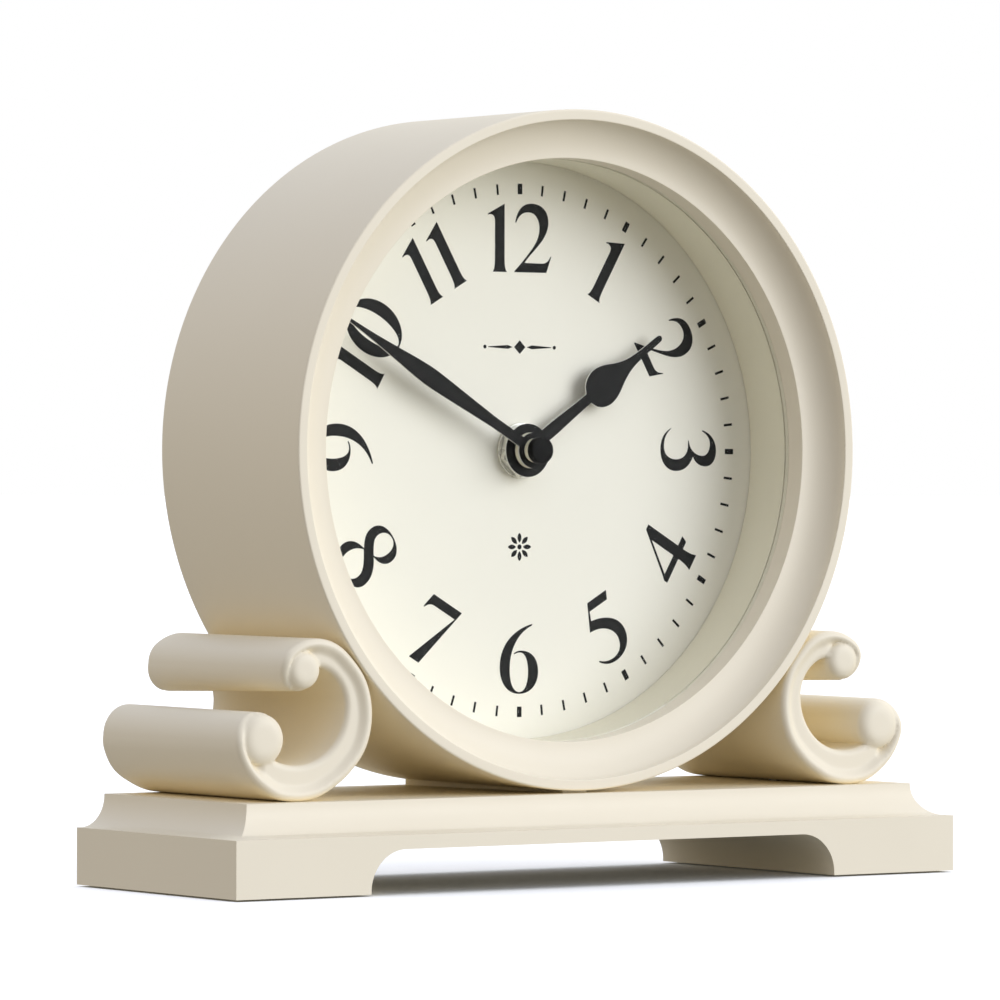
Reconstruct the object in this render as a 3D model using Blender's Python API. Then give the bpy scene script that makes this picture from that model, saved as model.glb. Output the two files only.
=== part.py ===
"""Mantel clock: a drum case held between two scrolls on a stepped plinth, with a quartz movement.

Blender 4.5. Mesh units are metres; every size below is in millimetres and is scaled by MM.
+X runs to the viewer's right of the dial, +Y towards the back, +Z up. The origin is on the
surface the clock stands on, under the middle of the plinth. Angles on the dial are degrees
clockwise from twelve o'clock.
"""
import math

import bmesh
import bpy
from mathutils import Matrix

MM = 0.001
GAP = 0.3                 # air between pieces that rest on each other
FINE = 0.15               # air between the small pieces of the movement

# Plinth
PLINTH_HALF_WIDTH = 95.0
PLINTH_HALF_DEPTH = 32.0
PLINTH_FLOOR = 0.4        # the felt pads hold the wood this far off the surface
BLOCK_TOP = 12.7
PLINTH_TOP = 19.8
COVE_LEDGE = 1.0          # flat step between the block and the cove
COVE_INSET = 6.9
COVE_STEPS = 6
ARCH_HALF_SPAN = 61.4
ARCH_HEIGHT = 9.7
ARCH_RADIUS = 8.8
ARCH_STEPS = 7

# Felt pads
PAD_RADIUS = 6.0
PAD_THICKNESS = 1.6
PAD_X = 84.0
PAD_Y = 21.0

# Drum
DRUM_RADIUS = 73.8
DRUM_FRONT = -22.7
DRUM_REAR = 32.0
AXIS_Z = PLINTH_TOP + 0.5 + DRUM_RADIUS
LIP_WIDTH = 2.3
COVE_DEPTH = 5.2
REVEAL_RADIUS = 63.4      # the straight wall seen between the cove and the dial
GLASS_SEAT = -12.5        # shoulder that the lens rests against
BORE_RADIUS = 66.0
REBATE_RADIUS = 70.3
COVER_SEAT = 28.2
DRUM_SEGMENTS = 64

# Lens, spacer, dial and board
LENS_THICKNESS = 1.2
DIAL_FACE = 1.8
DIAL_THICKNESS = 0.5
BOARD_FACE = DIAL_FACE + DIAL_THICKNESS + GAP
BOARD_THICKNESS = 3.0
DISC_RADIUS = BORE_RADIUS - GAP
BUSH_RADIUS = 4.0
GROOVE = (6.0, 8.0, 66.9)     # front, rear and radius of the groove for the retaining ring

# Rear cover
COVER_RADIUS = REBATE_RADIUS - GAP
COVER_THICKNESS = 2.0
COVER_OPENING = 60.0
COVER_SCREW_CIRCLE = 68.0
COVER_SCREW_ANGLES = (45, 135, 225, 315)

# Scrolls: chains of arcs (radius, sweep in degrees) that leave the innermost point up and down
SCROLL_FRONT = DRUM_FRONT + 0.3
SCROLL_REAR = 31.5
SCROLL_OUTER_START = (54.8, 37.9)
SCROLL_OUTER_UP = ((17.7, 50), (11.3, 76))
SCROLL_OUTER_DOWN = ((17.3, 55), (19.6, 43), (14.9, 74))
SCROLL_INNER_START = (60.7, 39.6)
SCROLL_INNER_UP = ((8.7, 67), (3.1, 50))
SCROLL_INNER_DOWN = ((12.5, 108),)
UPPER_BUTTON = (71.9, 47.5, 4.5)      # centre and radius of the button in the upper volute
LOWER_BUTTON = (82.3, 32.9, 5.9)
BUTTON_DOME = 1.0
ARC_STEP = 11.0                       # degrees of arc between outline points

# Screws that hold the case to the plinth: (x, y, top of the head, tip)
DRUM_SCREW_Y = (-8.0, 14.0)
SCROLL_SCREW_X = 72.5
SCROLL_SCREW_Y = 4.0

# Quartz movement: a 56 mm square case, 16 mm deep
CASE_HALF = 28.0
CASE_FRONT = BOARD_FACE + BOARD_THICKNESS + 1.2
CASE_SPLIT = CASE_FRONT + 6.0
CASE_REAR = CASE_FRONT + 16.0
CASE_WALL = 1.2
SHELF_TOP = -11.3                     # wall between the wheels and the cell, from the centre
SHELF_THICKNESS = 0.8
CELL_RADIUS = 7.1
CELL_LENGTH = 49.3
CELL_DROP = -19.4                     # height of the cell's axis from the centre

# Wheel train: places are (x, height) from the centre of the dial
PINION_TEETH = 20                     # fewer teeth than this make a pinion
MINUTE_WORK = (-11.28, 4.10)
SETTING = (-17.28, 14.49)
THIRD = (8.82, 7.41)
INTERMEDIATE = (-4.06, 8.70)
ROTOR = (2.82, 13.52)
CENTRE = (0.0, 0.0)

# Hands
HOUR_ANGLE = 55.0
MINUTE_ANGLE = 300.0
HOUR_HAND_FRONT = 3.2                 # distances in front of the dial
MINUTE_HAND_FRONT = 5.4
HAND_THICKNESS = 0.4
HOUR_BOSS = 5.85
MINUTE_BOSS = 3.9
# stations along each hand: (distance from the centre, half width)
HOUR_STATIONS = ((9, 1.55), (19, 1.15), (21, 1.7), (23.2, 3.5), (25.5, 4.3), (28, 3.75),
                 (31, 2.25), (34, 1.25), (38, 0.85), (44.6, 0.35))
MINUTE_STATIONS = ((12, 1.18), (20, 1.58), (27, 1.95), (31.5, 2.1), (36, 1.87), (42, 1.3),
                   (49, 0.72), (56, 0.35))

LOOKS = {                             # colour, roughness, metallic
    "cream": ((0.80, 0.76, 0.67, 1), 0.45, 0.0),
    "dial": ((0.90, 0.89, 0.83, 1), 0.6, 0.0),
    "black": ((0.03, 0.03, 0.032, 1), 0.45, 0.0),
    "nickel": ((0.62, 0.61, 0.58, 1), 0.3, 1.0),
    "brass": ((0.72, 0.60, 0.33, 1), 0.3, 1.0),
    "steel": ((0.55, 0.55, 0.56, 1), 0.35, 1.0),
    "glass": ((0.95, 0.97, 0.97, 0.3), 0.03, 0.0),
    "board": ((0.42, 0.30, 0.20, 1), 0.7, 0.0),
    "felt": ((0.10, 0.09, 0.08, 1), 0.95, 0.0),
    "rubber": ((0.04, 0.04, 0.04, 1), 0.8, 0.0),
    "case": ((0.05, 0.05, 0.055, 1), 0.5, 0.0),
    "nylon": ((0.85, 0.85, 0.80, 1), 0.5, 0.0),
    "copper": ((0.70, 0.32, 0.16, 1), 0.35, 1.0),
    "circuit": ((0.05, 0.25, 0.12, 1), 0.5, 0.0),
    "magnet": ((0.12, 0.12, 0.13, 1), 0.45, 0.6),
    "cell": ((0.30, 0.32, 0.34, 1), 0.35, 0.5),
}


# ---------------------------------------------------------------- building blocks

AXIS_TURNS = {
    "Y": Matrix.Identity(4),
    "Z": Matrix.Rotation(math.pi / 2, 4, "X"),
    "X": Matrix.Rotation(-math.pi / 2, 4, "Z"),
}


def turned(profile, segments=24, axis="Y"):
    """A solid turned from (radius, along) points; a radius of 0 closes the end in a pole."""
    bm = bmesh.new()
    rings = []
    for radius, along in profile:
        steps = segments if radius > 0 else 1
        rings.append([bm.verts.new((radius * MM * math.sin(2 * math.pi * i / segments), along * MM,
                                    radius * MM * math.cos(2 * math.pi * i / segments)))
                      for i in range(steps)])
    pairs = list(zip(rings, rings[1:]))
    if profile[0][0] > 0:
        pairs.append((rings[-1], rings[0]))
    for one, two in pairs:
        for i in range(segments):
            j = (i + 1) % segments
            corners = (one[i % len(one)], one[j % len(one)], two[j % len(two)], two[i % len(two)])
            bm.faces.new(list(dict.fromkeys(corners)))
    bm.transform(AXIS_TURNS[axis])
    return finished(bm)


def disc(radius, low, high, segments=24, axis="Y"):
    return turned([(0, low), (radius, low), (radius, high), (0, high)], segments, axis)


def tube(inner, outer, low, high, segments=24, axis="Y"):
    return turned([(inner, low), (outer, low), (outer, high), (inner, high)], segments, axis)


def prism(outline, low, high):
    """A flat outline of (x, z) points carried along Y from low to high."""
    bm = bmesh.new()
    ends = [[bm.verts.new((x * MM, y * MM, z * MM)) for x, z in outline] for y in (low, high)]
    for end in ends:
        bm.faces.new(end)
    for i in range(len(outline)):
        j = (i + 1) % len(outline)
        bm.faces.new((ends[0][i], ends[0][j], ends[1][j], ends[1][i]))
    return finished(bm)


def box(x, y, z):
    """A block from pairs of limits."""
    return prism([(x[0], z[0]), (x[1], z[0]), (x[1], z[1]), (x[0], z[1])], *y)


def finished(bm):
    bmesh.ops.recalc_face_normals(bm, faces=bm.faces)
    mesh = bpy.data.meshes.new("shape")
    bm.to_mesh(mesh)
    bm.free()
    return mesh


def moved(mesh, x=0.0, y=0.0, z=0.0):
    mesh.transform(Matrix.Translation((x * MM, y * MM, z * MM)))
    return mesh


def piece(name, look, mesh, at=(0.0, 0.0, 0.0), sharp=32):
    """A named object with its own material, standing at a place in millimetres."""
    colour, roughness, metallic = LOOKS[look]
    material = bpy.data.materials.new(name)
    material.use_nodes = True
    shader = material.node_tree.nodes["Principled BSDF"]
    shader.inputs["Base Color"].default_value = colour
    shader.inputs["Alpha"].default_value = colour[3]
    shader.inputs["Roughness"].default_value = roughness
    shader.inputs["Metallic"].default_value = metallic
    mesh.name = name
    mesh.materials.append(material)
    mesh.shade_smooth()
    mesh.set_sharp_from_angle(angle=math.radians(sharp))
    body = bpy.data.objects.new(name, mesh)
    body.location = [value * MM for value in at]
    bpy.context.scene.collection.objects.link(body)
    return body


def combine(body, meshes, operation):
    """Joins meshes to a body, or cuts them out of it; they are placed in the body's own frame."""
    for mesh in meshes:
        tool = bpy.data.objects.new(f"{body.name}_tool{len(body.modifiers)}", mesh)
        tool.parent = body
        tool.hide_render = True
        tool.display_type = "WIRE"
        bpy.context.scene.collection.objects.link(tool)
        change = body.modifiers.new(operation.lower(), "BOOLEAN")
        change.operation = operation
        change.object = tool


def join(body, *meshes):
    combine(body, meshes, "UNION")


def cut(body, *meshes):
    combine(body, meshes, "DIFFERENCE")


def on_dial(place, y=0.0):
    """The world place of a point given as (x, height) from the centre of the dial."""
    return place[0], y, AXIS_Z + place[1]


def around(radius, angle):
    """A point (x, height) at a radius and a clockwise angle from twelve."""
    turn = math.radians(angle)
    return radius * math.sin(turn), radius * math.cos(turn)


def rounded_square(half, radius, steps=4):
    points = []
    for corner, (sx, sz) in enumerate(((1, 1), (-1, 1), (-1, -1), (1, -1))):
        for step in range(steps + 1):
            turn = math.radians(90 * corner + 90 * step / steps)
            points.append((sx * (half - radius) + radius * math.cos(turn),
                           sz * (half - radius) + radius * math.sin(turn)))
    return points


def screw(name, look, at, axis, shank, head, length, toward=1):
    """A slotted pan-head screw; at is under the head, toward is the side where the head is."""
    head_radius, head_height = head
    profile = [(0, -length), (shank, -length + 2 * shank), (shank, 0), (head_radius, 0),
               (head_radius, head_height * 0.6), (head_radius * 0.8, head_height), (0, head_height)]
    body = piece(name, look, turned([(r, toward * along) for r, along in profile], 12, axis), at)
    limits = sorted((toward * head_height * 0.55, toward * (head_height + 1)))
    slot = box((-head_radius * 0.15, head_radius * 0.15), limits, (-head_radius - 1, head_radius + 1))
    slot.transform(AXIS_TURNS[axis])
    cut(body, slot)


# ---------------------------------------------------------------- toothed wheels

def gear_outline(teeth, pitch_radius, phase):
    """Teeth thin enough to run with backlash; phase is the angle of one tooth.

    A wheel has a pointed gap between its teeth, and a pinion has a flat one.
    """
    module = 2 * pitch_radius / teeth
    tip = pitch_radius + 0.7 * module
    if teeth < PINION_TEETH:
        root = pitch_radius - 1.05 * module
        flanks = ((root, -0.25), (tip, -0.09), (tip, 0.09), (root, 0.25))
    else:
        flanks = ((tip, -0.07), (tip, 0.07), (pitch_radius - 1.5 * module, 0.5))
    pitch = 360 / teeth
    return [around(radius, phase + (tooth + share) * pitch)
            for tooth in range(teeth) for radius, share in flanks]


def bearing(start, end):
    return math.degrees(math.atan2(end[0] - start[0], end[1] - start[1]))


def meshing_phase(driver, driver_teeth, driver_phase, mate, mate_teeth):
    """The phase that puts the mate's gaps over the driver's teeth on their line of centres."""
    line = bearing(driver, mate)
    behind = (line - driver_phase) % (360 / driver_teeth)
    return line + 180 + behind * driver_teeth / mate_teeth + 180 / mate_teeth


def gear(teeth, pitch_radius, phase, front, rear):
    return prism(gear_outline(teeth, pitch_radius, phase), front, rear)


# ---------------------------------------------------------------- case and stand

def make_plinth():
    arch = [(ARCH_HALF_SPAN, PLINTH_FLOOR)]
    for step in range(ARCH_STEPS + 1):
        turn = math.radians(90 * step / ARCH_STEPS)
        arch.append((ARCH_HALF_SPAN - ARCH_RADIUS + ARCH_RADIUS * math.cos(turn),
                     ARCH_HEIGHT - ARCH_RADIUS + ARCH_RADIUS * math.sin(turn)))
    front = [(PLINTH_HALF_WIDTH, BLOCK_TOP), (PLINTH_HALF_WIDTH, PLINTH_FLOOR)] + arch
    front += [(-x, z) for x, z in reversed(front)]
    block = prism(front, -PLINTH_HALF_DEPTH, PLINTH_HALF_DEPTH)
    body = piece("plinth", "cream", block, sharp=25)

    # the coved top runs along the front and both ends; the back is flat
    levels = [(0.0, BLOCK_TOP - 1.0), (0.0, BLOCK_TOP), (COVE_LEDGE, BLOCK_TOP)]
    span, rise = COVE_INSET - COVE_LEDGE, PLINTH_TOP - BLOCK_TOP - 0.2
    for step in range(1, COVE_STEPS + 1):
        turn = math.radians(90 * step / COVE_STEPS)
        levels.append((COVE_LEDGE + span * math.sin(turn), BLOCK_TOP + rise * (1 - math.cos(turn))))
    levels.append((COVE_INSET, PLINTH_TOP))
    bm = bmesh.new()
    rings = []
    for inset, z in levels:
        wide, front_y = PLINTH_HALF_WIDTH - inset, -PLINTH_HALF_DEPTH + inset
        corners = ((-wide, front_y), (wide, front_y), (wide, PLINTH_HALF_DEPTH), (-wide, PLINTH_HALF_DEPTH))
        rings.append([bm.verts.new((x * MM, y * MM, z * MM)) for x, y in corners])
    bm.faces.new(rings[0])
    bm.faces.new(rings[-1])
    for low, high in zip(rings, rings[1:]):
        for i in range(4):
            j = (i + 1) % 4
            bm.faces.new((low[i], low[j], high[j], high[i]))
    join(body, finished(bm))

    for x, y in pad_places():
        cut(body, moved(disc(PAD_RADIUS + GAP, -2, PAD_THICKNESS + GAP, 24, "Z"), x, y))
    for x, y, head_top, _tip in case_screws():
        cut(body, moved(disc(3.6, head_top - 12, head_top + 2.6, 16, "Z"), x, y))
        cut(body, moved(disc(1.9, head_top, PLINTH_TOP + 2, 12, "Z"), x, y))


def pad_places():
    return [(sx * PAD_X, sy * PAD_Y) for sx in (-1, 1) for sy in (-1, 1)]


def make_pads():
    names = ("pad_left_front", "pad_left_rear", "pad_right_front", "pad_right_rear")
    for name, (x, y) in zip(names, pad_places()):
        piece(name, "felt", disc(PAD_RADIUS, 0, PAD_THICKNESS, 24, "Z"), (x, y, 0))


def case_screws():
    """(x, y, underside of the screw, tip) for the four screws driven up through the plinth."""
    screws = [(0.0, y, ARCH_HEIGHT + 0.4, PLINTH_TOP + 6.2) for y in DRUM_SCREW_Y]
    screws += [(side * SCROLL_SCREW_X, SCROLL_SCREW_Y, ARCH_HEIGHT - 0.5, PLINTH_TOP + 4.8)
               for side in (-1, 1)]
    return screws


def make_case_screws():
    names = ("drum_screw_front", "drum_screw_rear", "scroll_screw_left", "scroll_screw_right")
    for name, (x, y, bottom, tip) in zip(names, case_screws()):
        seat = bottom + 2.2
        screw(name, "steel", (x, y, seat), "Z", 1.5, (3.2, 2.2), tip - seat, toward=-1)


def make_drum_shell():
    """The case: lip, cove and reveal at the front, plain bore behind, rebate for the cover."""
    lip = DRUM_RADIUS - LIP_WIDTH
    profile = [(DRUM_RADIUS, DRUM_FRONT + 0.4), (DRUM_RADIUS - 0.4, DRUM_FRONT), (lip, DRUM_FRONT)]
    for step in range(1, COVE_STEPS + 1):
        turn = math.radians(90 * step / COVE_STEPS)
        profile.append((lip - (lip - REVEAL_RADIUS) * (1 - math.cos(turn)),
                        DRUM_FRONT + COVE_DEPTH * math.sin(turn)))
    profile += [(REVEAL_RADIUS, GLASS_SEAT), (BORE_RADIUS, GLASS_SEAT), (BORE_RADIUS, GROOVE[0]),
                (GROOVE[2], GROOVE[0]), (GROOVE[2], GROOVE[1]), (BORE_RADIUS, GROOVE[1]),
                (BORE_RADIUS, COVER_SEAT), (REBATE_RADIUS, COVER_SEAT), (REBATE_RADIUS, DRUM_REAR),
                (DRUM_RADIUS - 0.4, DRUM_REAR), (DRUM_RADIUS, DRUM_REAR - 0.4)]
    body = piece("drum_shell", "cream", turned(profile, DRUM_SEGMENTS), (0, 0, AXIS_Z))
    for x, y, _bottom, tip in case_screws()[:2]:
        cut(body, moved(disc(1.8, PLINTH_TOP - AXIS_Z - 3, tip + GAP - AXIS_Z, 12, "Z"), x, y))
    for angle in COVER_SCREW_ANGLES:
        x, z = around(COVER_SCREW_CIRCLE, angle)
        cut(body, moved(disc(1.4, COVER_SEAT - 9.5, COVER_SEAT + 1, 12), x, 0, z))


def make_dial_stack():
    centre = (0, 0, AXIS_Z)
    lens_front = GLASS_SEAT + FINE
    lens_rear = lens_front + LENS_THICKNESS
    piece("lens", "glass", disc(DISC_RADIUS, lens_front, lens_rear, DRUM_SEGMENTS), centre)
    piece("spacer_ring", "cream",
          tube(REVEAL_RADIUS, DISC_RADIUS, lens_rear + FINE, DIAL_FACE - FINE, DRUM_SEGMENTS), centre)
    piece("dial_plate", "dial", tube(BUSH_RADIUS + GAP, DISC_RADIUS, DIAL_FACE,
                                     DIAL_FACE + DIAL_THICKNESS, DRUM_SEGMENTS), centre)
    piece("dial_board", "board", tube(BUSH_RADIUS + GAP, DISC_RADIUS, BOARD_FACE,
                                      BOARD_FACE + BOARD_THICKNESS, DRUM_SEGMENTS), centre)
    ring = tube(BORE_RADIUS - 1.2, GROOVE[2] - GAP, GROOVE[0] + GAP, GROOVE[1] - GAP, 48)
    body = piece("retaining_ring", "steel", ring, centre)
    cut(body, box((-9, 9), (0, 20), (-80, -50)))


def make_rear_cover():
    front = COVER_SEAT + GAP
    rear = front + COVER_THICKNESS
    body = piece("rear_cover", "case", disc(COVER_RADIUS, front, rear, DRUM_SEGMENTS), (0, 0, AXIS_Z))
    cut(body, prism(rounded_square(COVER_OPENING / 2, 5.0), front - 1, rear + 1))
    for number, angle in enumerate(COVER_SCREW_ANGLES, 1):
        x, z = around(COVER_SCREW_CIRCLE, angle)
        cut(body, moved(disc(1.5, front - 1, rear + 1, 12), x, 0, z))
        screw(f"cover_screw_{number}", "steel", (x, rear + FINE, AXIS_Z + z), "Y", 1.1, (1.9, 1.1), 9.5)


# ---------------------------------------------------------------- scrolls

def arc_chain(start, heading, arcs, side):
    """Points along arcs that join smoothly; heading in degrees from +x, side +1 turns left."""
    x, z = start
    turn = math.radians(heading)
    points = [start]
    for radius, sweep in arcs:
        centre = (x - side * radius * math.sin(turn), z + side * radius * math.cos(turn))
        steps = math.ceil(sweep / ARC_STEP)
        for _ in range(steps):
            turn += side * math.radians(sweep) / steps
            x, z = centre[0] + side * radius * math.sin(turn), centre[1] - side * radius * math.cos(turn)
            points.append((x, z))
    return points


def scroll_band():
    """The closed outline of the C-shaped band; both ends finish inside the buttons."""
    outer = list(reversed(arc_chain(SCROLL_OUTER_START, 90, SCROLL_OUTER_UP, -1)))
    outer += arc_chain(SCROLL_OUTER_START, -90, SCROLL_OUTER_DOWN, 1)[1:]
    inner = list(reversed(arc_chain(SCROLL_INNER_START, -90, SCROLL_INNER_DOWN, 1)))
    inner += arc_chain(SCROLL_INNER_START, 90, SCROLL_INNER_UP, -1)[1:]
    return outer + [LOWER_BUTTON[:2]] + inner + [UPPER_BUTTON[:2]]


def make_scroll(name, side):
    outline = [(side * x, z) for x, z in scroll_band()]
    body = piece(name, "cream", prism(outline, SCROLL_FRONT, SCROLL_REAR))
    for x, z, radius in (UPPER_BUTTON, LOWER_BUTTON):
        profile = [(0, SCROLL_FRONT - BUTTON_DOME * 0.5), (radius * 0.6, SCROLL_FRONT - BUTTON_DOME * 0.3),
                   (radius * 0.9, SCROLL_FRONT + 0.2), (radius, SCROLL_FRONT + BUTTON_DOME),
                   (radius, SCROLL_REAR - 0.2), (0, SCROLL_REAR - 0.2)]
        join(body, moved(turned(profile, 24), side * x, 0, z))
    hole = disc(1.8, PLINTH_TOP - 3, case_screws()[2][3] + GAP, 16, "Z")
    cut(body, moved(hole, side * SCROLL_SCREW_X, SCROLL_SCREW_Y))


# ---------------------------------------------------------------- movement

def make_movement_case():
    outline = rounded_square(CASE_HALF, 2.5)
    inner = CASE_HALF - CASE_WALL + 0.1
    floor = CASE_FRONT + CASE_WALL
    bay_top = SHELF_TOP - SHELF_THICKNESS
    front = piece("movement_front", "case", prism(outline, CASE_FRONT, CASE_SPLIT - FINE), on_dial(CENTRE))
    cut(front, box((-inner, inner), (floor, CASE_SPLIT + 1), (SHELF_TOP, inner)),
        box((-inner, inner), (floor, CASE_SPLIT + 1), (-inner, bay_top)),
        disc(BUSH_RADIUS + FINE, CASE_FRONT - 1, floor + 1, 32))
    for place in (MINUTE_WORK, THIRD):
        cut(front, moved(disc(0.75, floor - 0.7, floor + 1, 12), place[0], 0, place[1]))

    rear_floor = CASE_REAR - CASE_WALL
    rear = piece("movement_rear", "case", prism(outline, CASE_SPLIT, CASE_REAR), on_dial(CENTRE))
    cut(rear, box((-inner, inner), (CASE_SPLIT - 1, rear_floor), (SHELF_TOP, inner)),
        box((-inner, inner), (CASE_SPLIT - 1, CASE_REAR + 1), (-inner, bay_top)),
        moved(disc(1.6, rear_floor - 1, CASE_REAR + 1, 20), SETTING[0], 0, SETTING[1]))


def make_movement_fixings():
    centre = on_dial(CENTRE)
    piece("threaded_bush", "brass",
          tube(2.8, BUSH_RADIUS, DIAL_FACE - 2.5, CASE_FRONT + CASE_WALL, 24), centre)
    piece("rubber_washer", "rubber",
          tube(BUSH_RADIUS + GAP, 8.5, BOARD_FACE + BOARD_THICKNESS + GAP, CASE_FRONT - GAP, 24), centre)
    piece("flat_washer", "nickel", tube(BUSH_RADIUS + GAP, 6.05, DIAL_FACE - 0.8, DIAL_FACE - 0.2, 32), centre)
    corners = [around(6.1, 60 * corner + 12) for corner in range(6)]
    nut = piece("hex_nut", "nickel", prism(corners, DIAL_FACE - 2.6, DIAL_FACE - 0.95), centre)
    cut(nut, disc(BUSH_RADIUS + FINE, DIAL_FACE - 4, DIAL_FACE, 32))


def make_bridge():
    """The plate that carries the rear ends of the arbors, with three posts."""
    front, rear = CASE_REAR - 4.5, CASE_REAR - 3.6
    outline = [(-24.5, -10.5), (22.5, -10.5), (22.5, 17.2), (-10.0, 17.2), (-10.0, 19.5), (-24.5, 19.5)]
    body = piece("train_bridge", "nylon", prism(outline, front, rear), on_dial(CENTRE))
    for x, z in ((-23.0, -9.0), (21.0, -8.8), (-12.6, 17.9)):
        join(body, moved(disc(1.2, CASE_FRONT + CASE_WALL + GAP, rear - 0.3, 12), x, 0, z))
    for place, radius in ((CENTRE, 0.75), (THIRD, 0.75), (INTERMEDIATE, 0.75), (ROTOR, 0.65),
                          (MINUTE_WORK, 0.75), (SETTING, 1.6)):
        cut(body, moved(disc(radius, front - 1, rear + 1, 12), place[0], 0, place[1]))


def make_motion_work():
    """Wheels between the hands: minute arbor, minute-work wheel, hour wheel and setting knob."""
    floor = CASE_FRONT + CASE_WALL
    arbor_end = floor + 4.35
    tooth_line = bearing(CENTRE, MINUTE_WORK)

    minute = piece("minute_arbor", "brass", disc(1.6, DIAL_FACE - 8.4, arbor_end), on_dial(CENTRE))
    join(minute, gear(12, 3.0, tooth_line, floor + 1.6, floor + 2.9))
    cut(minute, disc(0.8, floor - 1, arbor_end + 1, 12))

    wheel_phase = meshing_phase(CENTRE, 12, tooth_line, MINUTE_WORK, 36)
    work = piece("minute_work_wheel", "nylon", gear(36, 9.0, wheel_phase, floor + 1.8, floor + 2.7),
                 on_dial(MINUTE_WORK))
    join(work, gear(10, 2.4, tooth_line + 180, floor + 0.3, floor + 2.2),
         disc(0.6, floor - 0.5, CASE_REAR - 3.3, 8))

    hour_phase = meshing_phase(MINUTE_WORK, 10, tooth_line + 180, CENTRE, 40)
    hour = piece("hour_wheel", "nylon", gear(40, 9.6, hour_phase, floor + 0.4, floor + 1.3),
                 on_dial(CENTRE))
    join(hour, disc(2.55, DIAL_FACE - 4.6, floor + 0.9, 24))
    cut(hour, disc(1.8, DIAL_FACE - 6, floor + 3, 24))

    knob_phase = meshing_phase(MINUTE_WORK, 36, wheel_phase, SETTING, 12)
    knob = piece("setting_knob", "nylon", gear(12, 3.0, knob_phase, floor + 1.7, floor + 2.8),
                 on_dial(SETTING))
    grip = [around(5.0 if flute % 2 else 4.6, 12 * flute) for flute in range(30)]
    join(knob, disc(1.3, floor + 2.2, CASE_REAR + 1, 16),
         prism(grip, CASE_REAR + GAP, CASE_REAR + 3.3))


def make_going_train():
    """Wheels from the rotor to the centre wheel; 1800 turns of the rotor are one of the hand."""
    floor = CASE_FRONT + CASE_WALL
    arbor_rear = CASE_REAR - 3.3

    line = bearing(CENTRE, THIRD)
    centre = piece("centre_wheel", "brass", gear(48, 10.24, line, floor + 3.3, floor + 4.2),
                   on_dial(CENTRE))
    cut(centre, disc(1.75, floor, floor + 8, 24))

    third_phase = meshing_phase(CENTRE, 48, line, THIRD, 6)
    third = piece("third_wheel", "nylon", gear(45, 10.16, line + 180, floor + 4.6, floor + 5.5),
                  on_dial(THIRD))
    join(third, gear(6, 1.28, third_phase, floor + 3.1, floor + 5.0), disc(0.6, floor - 0.5, arbor_rear, 8))

    pinion_phase = meshing_phase(THIRD, 45, line + 180, CENTRE, 6)
    step_line = bearing(CENTRE, INTERMEDIATE)
    seconds = piece("seconds_wheel", "nylon", gear(30, 8.0, step_line, floor + 5.9, floor + 6.8),
                    on_dial(CENTRE))
    join(seconds, gear(6, 1.355, pinion_phase, floor + 4.5, floor + 6.3), disc(0.6, floor - 0.6, arbor_rear, 8))

    leaf_phase = meshing_phase(CENTRE, 30, step_line, INTERMEDIATE, 6)
    rotor_line = bearing(INTERMEDIATE, ROTOR)
    step = piece("intermediate_wheel", "nylon", gear(36, 7.2, rotor_line, floor + 7.2, floor + 8.1),
                 on_dial(INTERMEDIATE))
    join(step, gear(6, 1.6, leaf_phase, floor + 5.7, floor + 7.6), disc(0.6, floor + 5.2, arbor_rear, 8))

    rotor_phase = meshing_phase(INTERMEDIATE, 36, rotor_line, ROTOR, 6)
    rotor = piece("rotor", "magnet", disc(2.5, floor + 8.5, floor + 9.9, 24), on_dial(ROTOR))
    join(rotor, gear(6, 1.2, rotor_phase, floor + 7.1, floor + 8.8), disc(0.5, floor + 6.9, arbor_rear, 8))


def make_motor():
    """Stator, coil and circuit that step the rotor."""
    floor = CASE_FRONT + CASE_WALL
    plate = floor + 8.8
    outline = [(-9.5, 9.8), (16.0, 9.8), (16.0, 24.3), (13.5, 24.3), (13.5, 17.7), (-7.0, 17.7),
               (-7.0, 24.3), (-9.5, 24.3)]
    stator = piece("stator", "steel", prism(outline, plate, plate + 0.8), on_dial(CENTRE))
    cut(stator, moved(disc(3.0, plate - 1, plate + 2, 24), ROTOR[0], 0, ROTOR[1]))

    coil_y, coil_z = plate + 1.5, 22.3
    piece("coil_core", "steel", box((-9.3, 15.8), (coil_y - 0.4, coil_y + 0.4), (coil_z - 1, coil_z + 1)),
          on_dial(CENTRE))
    bobbin = [(1.3, -6.4), (3.2, -6.4), (3.2, -5.6), (1.6, -5.6), (1.6, 12.1), (3.2, 12.1),
              (3.2, 12.9), (1.3, 12.9)]
    piece("coil_bobbin", "nylon", turned(bobbin, 20, "X"), on_dial((0, coil_z), coil_y))
    piece("coil_winding", "copper", tube(1.75, 2.9, -5.4, 11.9, 20, "X"), on_dial((0, coil_z), coil_y))

    board = CASE_REAR - 3.2
    piece("circuit_board", "circuit", box((7, 25), (board, board + 0.6), (-9, 15)), on_dial(CENTRE))
    piece("quartz_crystal", "nickel", disc(1.0, 0, 6, 16, "Z"), on_dial((20.2, 17.6), board - 1.3))


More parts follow.
